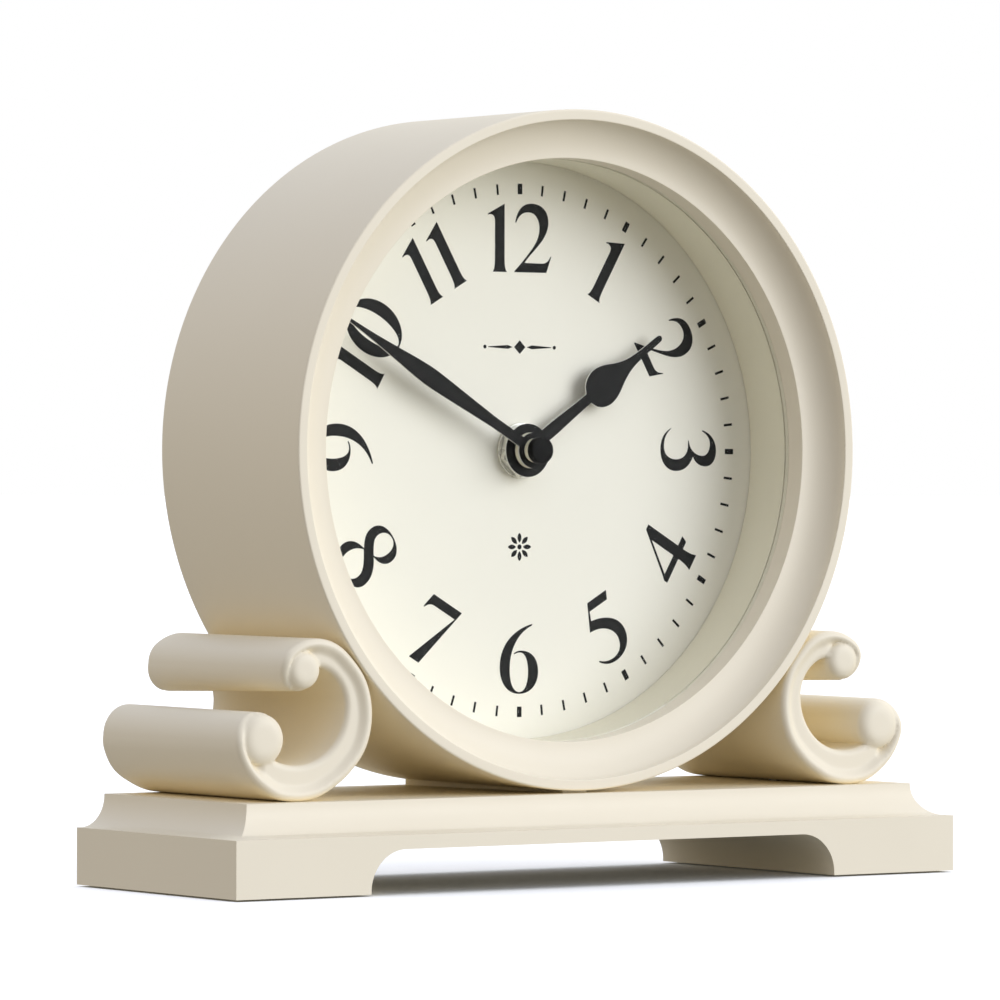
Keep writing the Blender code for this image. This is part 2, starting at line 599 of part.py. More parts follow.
def make_cell():
    middle = CASE_FRONT + 8.5
    half = CELL_LENGTH / 2
    profile = [(0, -half), (CELL_RADIUS - 0.6, -half), (CELL_RADIUS, -half + 0.6), (CELL_RADIUS, half - 0.6),
               (CELL_RADIUS - 0.6, half), (2.7, half), (2.7, half + 1.2), (0, half + 1.2)]
    piece("battery_cell", "cell", turned(profile, 32, "X"), on_dial((-0.4, CELL_DROP), middle))
    piece("contact_positive", "nickel", box((25.8, 26.2), (middle - 5, middle + 5), (-24, -15)), on_dial(CENTRE))
    spring = piece("contact_negative", "nickel",
                   box((-26.6, -26.2), (middle - 5, middle + 5), (-24, -15)), on_dial(CENTRE))
    cone = turned([(0, -26.4), (3.2, -26.4), (1.6, -25.4), (0, -25.4)], 16, "X")
    join(spring, moved(cone, 0, middle, CELL_DROP))


# ---------------------------------------------------------------- hands

def hand_outline(boss, stations, angle):
    """A round boss with a blade; stations give the blade's half width along its length."""
    opening = math.degrees(math.asin(stations[0][1] / boss))
    steps = 20
    points = [around(boss, opening + (360 - 2 * opening) * step / steps) for step in range(steps + 1)]
    points += [(-half, along) for along, half in stations]
    points += [(half, along) for along, half in reversed(stations)]
    turn = math.radians(angle)
    return [(x * math.cos(turn) + z * math.sin(turn), z * math.cos(turn) - x * math.sin(turn))
            for x, z in points]


def make_hands():
    centre = on_dial(CENTRE)
    hour_y, minute_y = DIAL_FACE - HOUR_HAND_FRONT, DIAL_FACE - MINUTE_HAND_FRONT

    hour = piece("hour_hand", "black", prism(hand_outline(HOUR_BOSS, HOUR_STATIONS, HOUR_ANGLE),
                                             hour_y, hour_y + HAND_THICKNESS), centre)
    cut(hour, disc(2.7, hour_y - 1, hour_y + 1, 24))
    piece("hour_collet", "brass", tube(2.7, 3.9, hour_y - 1.6, hour_y - FINE, 24), centre)

    minute = piece("minute_hand", "black", prism(hand_outline(MINUTE_BOSS, MINUTE_STATIONS, MINUTE_ANGLE),
                                                 minute_y, minute_y + HAND_THICKNESS), centre)
    cut(minute, disc(1.75, minute_y - 1, minute_y + 1, 24))
    piece("minute_collet", "brass", tube(1.75, 2.65, minute_y - 1.6, minute_y - FINE, 24), centre)

    front, rear = DIAL_FACE - 9.0, minute_y - 1.75
    cap = [(0, front), (2.6, front), (2.9, front + 0.3), (2.9, rear), (1.75, rear),
           (1.75, front + 0.5), (0, front + 0.5)]
    piece("hand_cap", "black", turned(cap, 24), centre)


def main():
    for old in list(bpy.data.objects):
        bpy.data.objects.remove(old, do_unlink=True)
    make_plinth()
    make_pads()
    make_drum_shell()
    make_scroll("scroll_left", -1)
    make_scroll("scroll_right", 1)
    make_case_screws()
    make_dial_stack()
    make_rear_cover()
    make_movement_case()
    make_movement_fixings()
    make_bridge()
    make_motion_work()
    make_going_train()
    make_motor()
    make_cell()
    make_hands()


main()
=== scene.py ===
"""Mantel clock: the finished look of the object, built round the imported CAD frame.

Shapes are written in millimetres and scaled to metres when a mesh is made. +X runs to the
viewer's right of the dial, +Y towards the back, +Z up. Angles on the dial are degrees clockwise
from twelve o'clock.
"""
import math

import bmesh
import bpy
import numpy as np
from mathutils import Matrix, Vector
from mathutils.geometry import delaunay_2d_cdt, tessellate_polygon


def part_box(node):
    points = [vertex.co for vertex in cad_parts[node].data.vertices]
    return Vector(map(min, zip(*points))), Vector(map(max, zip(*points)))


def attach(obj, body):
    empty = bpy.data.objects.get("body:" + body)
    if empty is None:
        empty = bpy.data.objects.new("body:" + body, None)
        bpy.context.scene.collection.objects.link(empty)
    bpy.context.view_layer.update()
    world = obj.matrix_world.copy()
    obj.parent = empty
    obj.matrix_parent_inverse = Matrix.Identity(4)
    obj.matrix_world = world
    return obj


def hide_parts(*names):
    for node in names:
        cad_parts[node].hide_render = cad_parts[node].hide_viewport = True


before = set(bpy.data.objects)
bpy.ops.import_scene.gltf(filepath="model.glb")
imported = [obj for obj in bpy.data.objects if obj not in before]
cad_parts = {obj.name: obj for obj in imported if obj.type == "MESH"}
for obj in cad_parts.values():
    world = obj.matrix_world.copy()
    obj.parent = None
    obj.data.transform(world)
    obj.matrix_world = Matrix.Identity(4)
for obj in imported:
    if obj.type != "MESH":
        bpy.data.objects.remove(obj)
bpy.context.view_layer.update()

MM = 0.001
TO_METRES = Matrix.Scale(MM, 4)


def limits(node):
    """Lowest and highest corner of a CAD node in millimetres."""
    low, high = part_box(node)
    return low / MM, high / MM


def middle(node):
    low, high = limits(node)
    return (low + high) / 2


# ---------------------------------------------------------------- mesh building

AXIS_TURNS = {
    "Y": Matrix.Identity(4),
    "Z": Matrix.Rotation(math.pi / 2, 4, "X"),
    "X": Matrix.Rotation(-math.pi / 2, 4, "Z"),
}


def shape(bm):
    """A mesh in millimetres with its normals facing out."""
    bmesh.ops.recalc_face_normals(bm, faces=bm.faces)
    mesh = bpy.data.meshes.new("shape")
    bm.to_mesh(mesh)
    bm.free()
    return mesh


def filleted(points, steps=5):
    """Rounds the corners of a closed outline of (x, y, reach) points; a reach of 0 stays sharp."""
    out = []
    for i, (x, y, reach) in enumerate(points):
        here = Vector((x, y))
        if not reach:
            out.append(tuple(here))
            continue
        ends = []
        for other in (points[i - 1], points[(i + 1) % len(points)]):
            along = Vector(other[:2]) - here
            ends.append(here + along.normalized() * min(reach, along.length / 2))
        for step in range(steps + 1):
            t = step / steps
            out.append(tuple(ends[0].lerp(here, t).lerp(here.lerp(ends[1], t), t)))
    return out


def join_rings(bm, pairs):
    """Faces between pairs of rings of points; a ring of one point is a pole."""
    for one, two in pairs:
        count = max(len(one), len(two))
        for i in range(count):
            j = (i + 1) % count
            corners = (one[i % len(one)], one[j % len(one)], two[j % len(two)], two[i % len(two)])
            bm.faces.new(list(dict.fromkeys(corners)))


def turned(profile, segments=96, axis="Y"):
    """A solid turned from (radius, along, reach) points; a radius of 0 closes the end in a pole."""
    profile = filleted(profile)
    bm = bmesh.new()
    rings = []
    for radius, along in profile:
        steps = segments if radius > 0 else 1
        rings.append([bm.verts.new((radius * math.sin(2 * math.pi * i / segments), along,
                                    radius * math.cos(2 * math.pi * i / segments)))
                      for i in range(steps)])
    pairs = list(zip(rings, rings[1:]))
    if profile[0][0] > 0:
        pairs.append((rings[-1], rings[0]))
    join_rings(bm, pairs)
    bm.transform(AXIS_TURNS[axis])
    return shape(bm)


def disc(radius, low, high, reach=0.1, segments=96, axis="Y"):
    return turned([(0, low, 0), (radius, low, reach), (radius, high, reach), (0, high, 0)], segments, axis)


def ring(inner, outer, low, high, reach=0.1, segments=96):
    corners = [(inner, low), (outer, low), (outer, high), (inner, high)]
    return turned([(r, y, reach) for r, y in corners], segments)


def slab(loops, low, high):
    """A flat solid between two distances along Y, from an outer loop of (x, z) points and holes."""
    bm = bmesh.new()
    add_slab(bm, loops, low, high)
    return shape(bm)


def add_slab(bm, loops, low, high):
    ends = [[[bm.verts.new((x, y, z)) for x, z in loop] for loop in loops] for y in (low, high)]
    flat = tessellate_polygon([[Vector((x, z, 0)) for x, z in loop] for loop in loops])
    for end in ends:
        corners = [vert for loop in end for vert in loop]
        for triangle in flat:
            bm.faces.new([corners[i] for i in triangle])
    join_rings(bm, zip(*ends))


def block(x, y, z):
    return slab([[(x[0], z[0]), (x[1], z[0]), (x[1], z[1]), (x[0], z[1])]], *y)


def moved(mesh, x=0.0, y=0.0, z=0.0):
    mesh.transform(Matrix.Translation((x, y, z)))
    return mesh


def upright_hole(radius, place, low, high, segments=24):
    """A tool that cuts a round hole along Z at a place."""
    return moved(disc(radius, low, high, 0, segments, "Z"), place.x, place.y)


def placed(name, data):
    """A new object that is part of the scene."""
    made = bpy.data.objects.new(name, data)
    bpy.context.scene.collection.objects.link(made)
    return made


def combined(mesh, tools, operation="DIFFERENCE"):
    """The mesh after cutting the tools out of it, joining them to it or keeping what they share."""
    made = [placed("work", data) for data in (mesh, *tools)]
    body = made[0]
    for tool in made[1:]:
        change = body.modifiers.new("change", "BOOLEAN")
        change.operation = operation
        change.object = tool
    evaluated = body.evaluated_get(bpy.context.evaluated_depsgraph_get())
    result = bpy.data.meshes.new_from_object(evaluated)
    for tool in made:
        bpy.data.objects.remove(tool)
    return result


def piece(name, mesh, body, slot, stands_for=(), bevel=0.0, angle=40, look=None, second=None):
    """A finished piece that rides on a CAD body; bevel is the width in millimetres.

    look names a finish other than the slot's own. second is a further finish and a test that
    picks the faces it covers."""
    mesh.transform(TO_METRES)
    mesh.name = name
    mesh.materials.clear()
    mesh.materials.append(FINISHES[look or slot])
    if second:
        other, covers = second
        mesh.materials.append(FINISHES[other])
        for face in mesh.polygons:
            face.material_index = int(covers(face))
    mesh.shade_smooth()
    if not bevel:
        mesh.set_sharp_from_angle(angle=math.radians(angle))
    made = placed(name, mesh)
    if bevel:
        soften(made, bevel, angle)
    else:
        made.modifiers.new("normals", "WEIGHTED_NORMAL").keep_sharp = True
    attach(made, body)
    if stands_for:
        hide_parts(*stands_for)
    return made


def soften(made, width, angle, segments=3):
    """Rounds an object's edges that turn by more than an angle."""
    edges = made.modifiers.new("edges", "BEVEL")
    edges.width = width * MM
    edges.segments = segments
    edges.limit_method = "ANGLE"
    edges.angle_limit = math.radians(angle)
    edges.harden_normals = True
    edges.use_clamp_overlap = True


def around(radius, angle):
    """A point (x, height) at a radius and a clockwise angle from twelve."""
    turn = math.radians(angle)
    return radius * math.sin(turn), radius * math.cos(turn)


def turned_outline(points, angle):
    """(x, height) points turned clockwise about the origin."""
    turn = math.radians(angle)
    return [(x * math.cos(turn) + z * math.sin(turn), z * math.cos(turn) - x * math.sin(turn))
            for x, z in points]


def oval(x, z, wide, tall, steps=48):
    return [(x + wide * math.cos(2 * math.pi * i / steps), z + tall * math.sin(2 * math.pi * i / steps))
            for i in range(steps)]


def shifted(points, x=0.0, z=0.0):
    return [(px + x, pz + z) for px, pz in points]


def smoothstep(low, high, value):
    share = np.clip((value - low) / (high - low), 0, 1)
    return share * share * (3 - 2 * share)


# ---------------------------------------------------------------- finishes

ROUGH_SPREAD = 0.04
# samples of the ambient occlusion that places the painted warm bounce light
PAINTED_BOUNCE_SAMPLES = 5
PAINTED_BOUNCE_RANGE = (0.1, 0.65)    # openness where the painted warm bounce light is full, and where it has gone


class Nodes:
    """A small helper that adds and links the shader nodes of a new material."""

    def __init__(self, name):
        self.material = bpy.data.materials.new(name)
        self.material.use_nodes = True
        self.tree = self.material.node_tree
        self.shader = self.tree.nodes["Principled BSDF"]
        self.place = self.add("ShaderNodeTexCoord").outputs["Object"]

    def add(self, kind, **inputs):
        node = self.tree.nodes.new(kind)
        self.feed(node, **inputs)
        return node

    def feed(self, node, **inputs):
        """Links or sets inputs by name, with an underscore for a space."""
        for key, value in inputs.items():
            socket = node.inputs[key.replace("_", " ")]
            if isinstance(value, bpy.types.NodeSocket):
                self.tree.links.new(value, socket)
            else:
                socket.default_value = value

    def noise(self, scale, detail=3.0, stretch=None):
        place = self.place
        if stretch:
            mapping = self.add("ShaderNodeMapping", Vector=place, Scale=stretch)
            place = mapping.outputs["Vector"]
        return self.add("ShaderNodeTexNoise", Vector=place, Scale=scale, Detail=detail,
                        Roughness=0.55).outputs["Fac"]

    def ramp(self, value, stops, interpolation="LINEAR"):
        node = self.add("ShaderNodeValToRGB", Fac=value)
        node.color_ramp.interpolation = interpolation
        elements = node.color_ramp.elements
        while len(elements) < len(stops):
            elements.new(0.5)
        for element, (position, colour) in zip(elements, stops):
            element.position = position
            element.color = (*colour, 1)
        return node.outputs["Color"]

    def span(self, value, low, high, start=0.3, end=0.7):
        """Maps a value from start to end onto low to high."""
        return self.add("ShaderNodeMapRange", Value=value, From_Min=start, From_Max=end,
                        To_Min=low, To_Max=high).outputs["Result"]

    def bump(self, height, distance, under=None):
        node = self.add("ShaderNodeBump", Height=height, Distance=distance, Strength=1.0)
        if under is not None:
            self.feed(node, Normal=under)
        return node.outputs["Normal"]


def shade(colour, share):
    return tuple(min(1.0, channel * share) for channel in colour)


def finish(name, colour, rough, metallic, specular, mottle, grain, waves=None, stretch=None, hollow=None):
    """A surface with slight variation of colour and gloss, and fine grain.

    mottle is (scale, share of the colour); waves and grain are (scale, height in mm). hollow is
    (colour, reach in mm): painted warm bounce light, a warmer and lighter colour that the paint is
    given where near surfaces within that reach enclose it, in place of light bouncing between them."""
    nodes = Nodes(name)
    scale, spread = mottle
    cloud = nodes.noise(scale, stretch=stretch)
    colours = nodes.ramp(cloud, [(0.3, shade(colour, 1 - spread)), (0.7, shade(colour, 1 + spread))])
    # painted warm bounce light: where ambient occlusion finds near surfaces, the colour is mixed towards a
    # warmer, lighter one in place of light bouncing between them
    if hollow:
        painted_bounce_colour, reach = hollow
        openness = nodes.add("ShaderNodeAmbientOcclusion", Distance=reach * MM)
        openness.samples = PAINTED_BOUNCE_SAMPLES
        painted_bounce_share = nodes.span(openness.outputs["AO"], 1.0, 0.0, *PAINTED_BOUNCE_RANGE)
        colours = nodes.add("ShaderNodeMixRGB", Fac=painted_bounce_share, Color1=colours,
                            Color2=(*painted_bounce_colour, 1)).outputs["Color"]
    gloss = nodes.noise(scale * 2.3, stretch=stretch)
    under = None
    if waves:
        under = nodes.bump(nodes.noise(waves[0], 2.0), waves[1] * MM)
    fine = nodes.noise(grain[0], 2.0, stretch=stretch)
    nodes.feed(nodes.shader, Base_Color=colours, Metallic=metallic, Specular_IOR_Level=specular,
               Roughness=nodes.span(gloss, rough - ROUGH_SPREAD, rough + ROUGH_SPREAD),
               Normal=nodes.bump(fine, grain[1] * MM, under))
    return nodes.material


def lens_finish():
    """Clear flat glass with a faint mirror sheen."""
    nodes = Nodes("glass")
    nodes.tree.nodes.remove(nodes.shader)
    clear = nodes.add("ShaderNodeBsdfTransparent", Color=(0.997, 0.998, 0.997, 1))
    smear = nodes.span(nodes.noise(25), 0.01, 0.03)
    mirror = nodes.add("ShaderNodeBsdfGlossy", Color=(1, 1, 1, 1), Roughness=smear)
    share = nodes.add("ShaderNodeFresnel", IOR=1.05)
    mixed = nodes.add("ShaderNodeMixShader", Fac=share.outputs["Fac"])
    nodes.tree.links.new(clear.outputs[0], mixed.inputs[1])
    nodes.tree.links.new(mirror.outputs[0], mixed.inputs[2])
    nodes.feed(nodes.tree.nodes["Material Output"], Surface=mixed.outputs[0])
    return nodes.material


def cell_finish():
    """A sleeved cell: dark sleeve, copper-coloured end and bare steel ends, along X."""
    nodes = Nodes("cell")
    low, high = limits("battery_cell")
    along = nodes.add("ShaderNodeSeparateXYZ", Vector=nodes.place).outputs["X"]
    share = nodes.span(along, 0.0, 1.0, low.x * MM, high.x * MM)
    edge = 1.1 / (high.x - low.x)
    steel = (0.6, 0.6, 0.6)
    # where each part starts, its colour and how metallic it is
    parts = ((0.0, steel, 1.0), (edge, (0.022, 0.022, 0.026), 0.2),
             (0.70, (0.55, 0.27, 0.11), 0.8), (1 - 1.9 * edge, steel, 1.0))
    colours = nodes.ramp(share, [(start, colour) for start, colour, _ in parts], "CONSTANT")
    metal = nodes.ramp(share, [(start, (shine,) * 3) for start, _, shine in parts], "CONSTANT")
    nodes.feed(nodes.shader, Base_Color=colours, Metallic=metal,
               Roughness=nodes.span(nodes.noise(180), 0.22, 0.34),
               Normal=nodes.bump(nodes.noise(900, 2.0), 0.004 * MM))
    return nodes.material


def winding_finish():
    """Enamelled wire wound round an axis along X."""
    nodes = Nodes("copper")
    turns = nodes.add("ShaderNodeTexWave", Vector=nodes.place, Scale=1600.0, Distortion=0.4)
    turns.bands_direction = "X"
    turns = turns.outputs["Fac"]
    nodes.feed(nodes.shader, Metallic=0.9, Roughness=nodes.span(nodes.noise(300), 0.25, 0.4),
               Base_Color=nodes.ramp(turns, [(0.2, (0.30, 0.10, 0.04)), (0.8, (0.75, 0.33, 0.16))]),
               Normal=nodes.bump(turns, 0.05 * MM))
    return nodes.material


# colour, roughness, metallic, specular, mottle, grain and waves
CREAM = ((0.800, 0.731, 0.606), 0.46, 0.0, 0.5, (14, 0.012), (1800, 0.0035), (260, 0.004))
FINISHES = {
    # the first cream carries painted warm bounce light in enclosed places; the second is the same paint
    # without it
    "cream": finish("cream", *CREAM, hollow=((0.97, 0.85, 0.60), 25)),
    "cream_without_painted_bounce": finish("cream_without_painted_bounce", *CREAM),
    "board": finish("board", (0.27, 0.16, 0.08), 0.75, 0.0, 0.5, (900, 0.25), (1600, 0.05),
                    stretch=(1, 1, 0.35)),
    "copper": winding_finish(),
    "cell": cell_finish(),
    "glass": lens_finish(),
}
for name, *look in (
    # a lighter, less yellow copy of the cream paint for the recessed wall and the lens strip: painted light
    # on a wall that sits in shade
    ("reveal", (0.845, 0.805, 0.670), 0.5, 0.0, 0.5, (20, 0.012), (1800, 0.0035)),
    ("dial", (0.935, 0.910, 0.815), 0.62, 0.0, 0.35, (22, 0.008), (2600, 0.004)),
    ("ink", (0.017, 0.017, 0.017), 0.65, 0.0, 0.12, (120, 0.08), (3000, 0.004)),
    ("hand", (0.013, 0.013, 0.013), 0.60, 0.0, 0.12, (90, 0.12), (3500, 0.006)),
    ("cap", (0.006, 0.006, 0.006), 0.45, 0.0, 0.06, (90, 0.15), (3500, 0.004)),
    ("cut_metal", (0.80, 0.80, 0.78), 0.4, 0.5, 0.5, (300, 0.05), (3000, 0.004)),
    ("steel", (0.52, 0.52, 0.53), 0.34, 1.0, 0.5, (120, 0.06), (2500, 0.004)),
    ("nickel", (0.80, 0.79, 0.74), 0.30, 0.55, 0.5, (160, 0.05), (2500, 0.003)),
    ("brass", (0.70, 0.62, 0.42), 0.30, 1.0, 0.5, (160, 0.06), (2500, 0.003)),
    ("collet", (0.90, 0.87, 0.72), 0.34, 0.3, 0.5, (160, 0.05), (2500, 0.003)),
    ("felt", (0.035, 0.030, 0.027), 0.95, 0.0, 0.1, (400, 0.25), (4200, 0.12)),
    ("rubber", (0.018, 0.018, 0.018), 0.82, 0.0, 0.5, (200, 0.15), (2200, 0.02)),
    ("case", (0.016, 0.016, 0.018), 0.50, 0.0, 0.5, (60, 0.15), (1700, 0.03)),
    ("nylon", (0.74, 0.73, 0.66), 0.45, 0.0, 0.5, (80, 0.03), (1500, 0.006)),
    ("magnet", (0.05, 0.05, 0.055), 0.45, 0.6, 0.5, (400, 0.2), (2500, 0.02)),
    ("circuit", (0.02, 0.13, 0.06), 0.35, 0.0, 0.5, (300, 0.15), (1200, 0.02)),
):
    FINISHES[name] = finish(name, *look)


# ---------------------------------------------------------------- case

drum_low, drum_high = limits("drum_shell")
AXIS_Z = (drum_low.z + drum_high.z) / 2
DRUM_RADIUS = (drum_high.z - drum_low.z) / 2
DRUM_FRONT, DRUM_REAR = drum_low.y, drum_high.y
LIP_WIDTH = 2.3
COVE_DEPTH = 5.2
REVEAL_RADIUS = 63.4
GLASS_SEAT = -12.5
BORE_RADIUS = 66.0
REBATE_RADIUS = 70.3
COVER_SEAT = 28.2
GROOVE = (6.0, 8.0, 66.9)      # front, back and radius of the retaining ring's groove
OPEN_EDGE = 0.7                # the drum's faces further in than this don't take the painted warm bounce light
ROUND_SEGMENTS = 288
COVE_STEPS = 20
BUSH_CLEAR = 4.3               # radius of the holes that the threaded bush passes through
DRUM_SCREWS = ("drum_screw_front", "drum_screw_rear")
SCROLL_SCREWS = ("scroll_screw_left", "scroll_screw_right")
COVER_SCREWS = ("cover_screw_1", "cover_screw_2", "cover_screw_3", "cover_screw_4")
FEET = ("pad_left_front", "pad_left_rear", "pad_right_front", "pad_right_rear")
SCREW_BITE = 1.8               # radii of the hole that a case screw bites into, passes through and sinks into
SCREW_PASSAGE = 1.9
SCREW_SINK = 3.6
SINK_DEPTH = 4.8
COVER_SCREW_BITE = 1.4


def on_axis(mesh):
    """A mesh that was made round the origin, carried to the axis of the drum."""
    return moved(mesh, z=AXIS_Z)


def ring_piece(name, node, body, slot, inner, reach=0.1, segments=96, look=None):
    """A plain ring that fills the box of a CAD node, down to an inner radius."""
    low, high = limits(node)
    mesh = ring(inner, high.x, low.y, high.y, reach, segments)
    piece(name, on_axis(mesh), body, slot, [node], look=look)


def make_drum():
    lip = DRUM_RADIUS - LIP_WIDTH
    profile = [(DRUM_RADIUS, DRUM_FRONT, 0.5), (lip, DRUM_FRONT, 0.25)]
    for step in range(1, COVE_STEPS + 1):
        turn = math.radians(90 * step / COVE_STEPS)
        profile.append((lip - (lip - REVEAL_RADIUS) * (1 - math.cos(turn)),
                        DRUM_FRONT + COVE_DEPTH * math.sin(turn), 0))
    profile[-1] = (*profile[-1][:2], 0.18)
    groove_front, groove_back, groove_radius = GROOVE
    profile += [(REVEAL_RADIUS, GLASS_SEAT, 0.1), (BORE_RADIUS, GLASS_SEAT, 0),
                (BORE_RADIUS, groove_front, 0), (groove_radius, groove_front, 0),
                (groove_radius, groove_back, 0), (BORE_RADIUS, groove_back, 0),
                (BORE_RADIUS, COVER_SEAT, 0.2), (REBATE_RADIUS, COVER_SEAT, 0),
                (REBATE_RADIUS, DRUM_REAR, 0.4), (DRUM_RADIUS, DRUM_REAR, 0.6)]
    holes = []
    for node in DRUM_SCREWS:
        top = limits(node)[1].z + 0.3
        holes.append(moved(upright_hole(SCREW_BITE, middle(node), 0, 10), z=top - 10))
    for node in COVER_SCREWS:
        centre = middle(node)
        hole = disc(COVER_SCREW_BITE, COVER_SEAT - 9.5, COVER_SEAT + 1, 0, 24)
        holes.append(moved(hole, centre.x, 0, centre.z))
    # the drum's outer faces take the cream with painted warm bounce light, its inner faces the cream without
    # it
    inside = (DRUM_RADIUS - OPEN_EDGE) * MM
    piece("drum_case", combined(on_axis(turned(profile, ROUND_SEGMENTS)), holes), "clock", "cream",
          ["drum_shell"], angle=28, second=("cream_without_painted_bounce", lambda face: math.hypot(
              face.center.x, face.center.z - AXIS_Z * MM) < inside))


def make_dial_stack():
    """The wall between lens and dial, the lens in the pale strip that seats its rim, and the dial."""
    # the wall and the lens strip take a lighter copy of the cream paint, painted light in the recess
    ring_piece("reveal_ring", "spacer_ring", "clock", "cream", REVEAL_RADIUS, 0.1, ROUND_SEGMENTS, "reveal")
    low, high = limits("lens")
    strip = ring(REVEAL_RADIUS + 0.15, high.x, low.y + 0.07, high.y - 0.05, 0.05, ROUND_SEGMENTS)
    piece("lens_strip", on_axis(strip), "clock", "cream", look="reveal")
    lens = disc(REVEAL_RADIUS + 0.1, low.y, high.y, 0.05, ROUND_SEGMENTS)
    piece("lens_glass", on_axis(lens), "clock", "glass", ["lens"])
    ring_piece("dial_face", "dial_plate", "clock", "dial", BUSH_CLEAR, 0.1, ROUND_SEGMENTS)


# ---------------------------------------------------------------- plinth

plinth_low, plinth_high = limits("plinth")
BLOCK_TOP = 12.7
COVE_LEDGE = 1.0
COVE_INSET = 6.9
COVE_EDGE = 0.2                # the upright edge above the cove
PLINTH_COVE_STEPS = 14
ARCH_HALF_SPAN = 61.4
ARCH_HEIGHT = 9.7
ARCH_RADIUS = 8.8
ARCH_STEPS = 18
FOOT_CLEARANCE = 0.3
SADDLE_FRONT, SADDLE_REAR = 3.2, 10.8    # half widths
SADDLE_INSET = (3.5, 1.5)      # how far it stays inside the drum's front and rear
SADDLE_DEPTH = (0.3, 1.4)      # how far it goes into the plinth, and above it before the drum is cut out


def arch_outline():
    """The opening under the plinth, which runs down past the floor."""
    arch = [(ARCH_HALF_SPAN, -5)]
    for step in range(ARCH_STEPS + 1):
        turn = math.radians(90 * step / ARCH_STEPS)
        arch.append((ARCH_HALF_SPAN - ARCH_RADIUS + ARCH_RADIUS * math.cos(turn),
                     ARCH_HEIGHT - ARCH_RADIUS + ARCH_RADIUS * math.sin(turn)))
    return arch + [(-x, z) for x, z in reversed(arch)]


def make_plinth():
    half_width, half_depth = plinth_high.x, plinth_high.y
    levels = [(0.0, plinth_low.z), (0.0, BLOCK_TOP), (COVE_LEDGE, BLOCK_TOP)]
    span, rise = COVE_INSET - COVE_LEDGE, plinth_high.z - BLOCK_TOP - COVE_EDGE
    for step in range(1, PLINTH_COVE_STEPS + 1):
        turn = math.radians(90 * step / PLINTH_COVE_STEPS)
        levels.append((COVE_LEDGE + span * math.sin(turn), BLOCK_TOP + rise * (1 - math.cos(turn))))
    levels.append((COVE_INSET, plinth_high.z))
    bm = bmesh.new()
    rings = []
    for inset, z in levels:
        wide, front = half_width - inset, inset - half_depth
        corners = ((-wide, front), (wide, front), (wide, half_depth), (-wide, half_depth))
        rings.append([bm.verts.new((x, y, z)) for x, y in corners])
    bm.faces.new(rings[0])
    bm.faces.new(rings[-1])
    join_rings(bm, zip(rings, rings[1:]))
    tools = [slab([arch_outline()], -half_depth - 5, half_depth + 5)]
    for node in FEET:
        centre, high = middle(node), limits(node)[1]
        radius = high.x - centre.x + FOOT_CLEARANCE
        tools.append(upright_hole(radius, centre, -2, high.z + FOOT_CLEARANCE, 48))
    for node in DRUM_SCREWS + SCROLL_SCREWS:
        centre, low = middle(node), limits(node)[0]
        tools.append(upright_hole(SCREW_SINK, centre, low.z - 10, low.z + SINK_DEPTH, 32))
        tools.append(upright_hole(SCREW_PASSAGE, centre, low.z, plinth_high.z + 2))
    piece("plinth_stand", combined(shape(bm), tools), "clock", "cream", ["plinth"], bevel=0.3)


def make_saddle():
    """A thin saddle that the drum rests in, narrower at the front."""
    top = plinth_high.z
    saddle = block((-SADDLE_REAR, SADDLE_REAR), (DRUM_FRONT + SADDLE_INSET[0], DRUM_REAR - SADDLE_INSET[1]),
                   (top - SADDLE_DEPTH[0], top + SADDLE_DEPTH[1]))
    for corner in saddle.vertices:
        if corner.co.y < 0:
            corner.co.x *= SADDLE_FRONT / SADDLE_REAR
    tools = [on_axis(disc(DRUM_RADIUS + 0.01, DRUM_FRONT - 5, DRUM_REAR + 5, 0, ROUND_SEGMENTS))]
    tools += [upright_hole(SCREW_PASSAGE, middle(node), top - 2, top + 3) for node in DRUM_SCREWS]
    piece("drum_saddle", combined(saddle, tools), "clock", "cream")


# ---------------------------------------------------------------- scrolls

SCROLL_FRONT = DRUM_FRONT + 0.3
SCROLL_REAR = limits("scroll_right")[1].y
# chains of arcs (radius, sweep in degrees) that leave the innermost point up and down
OUTER_START = (54.8, 37.9)
OUTER_UP = ((17.7, 50), (11.3, 76), (5.1, 70), (4.6, 60))
OUTER_DOWN = ((17.3, 55), (19.6, 43), (14.9, 63), (6.6, 60), (6.0, 36))
INNER_START = (60.7, 39.6)
INNER_UP = ((8.7, 67), (3.1, 26))
INNER_DOWN = ((12.2, 116),)
# circles of (x, z, radius): the innermost turn of each volute, and the button that fills it
UPPER_VOLUTE = (71.9, 47.5, 4.5)
LOWER_VOLUTE = (82.3, 32.9, 5.9)
UPPER_BUTTON = (71.6, 47.5, 4.2)
LOWER_BUTTON = (81.85, 33.0, 5.5)
BEAD = 1.75                    # width of the rounded bead along the outer edge
BAND_DEPTH = 1.05              # how far the band lies behind the bead
HOLLOW_DEPTH = 1.9             # how much deeper the hollow beside each button goes
BUTTON_EDGE = -2.4
BUTTON_TOP = 0.15
EDGE_ROUND = 1.3
REAR_SPREAD = 0.25             # how much further out the volutes reach at the rear
REAR_DROP = 1.1                # how much further down their undersides reach there
BACK_SHIFT = 0.45              # the back of the curve is carried a little closer to the drum
BACK_RANGE = (60, 56)          # x over which that shift comes in
SCROLL_REST = 0.36             # how far the foot of the curve reaches down to rest on the plinth
REST_RANGE = (23, 20.5)        # height over which that reach comes in
SPREAD_X, SPREAD_Z = (64, 71), (20, 27)  # x and height over which the rear spread comes in
OPENING_FADE = (0, 4)          # distance from the opening's edge over which it comes in
BUTTON_POWER = 5               # how flat the buttons' domes are
BUTTON_SKIRT = 2               # how steeply the relief falls away round a button
END_FALL = 1.5                 # how far the band sinks towards its ends, and over what length
END_REACH = 9
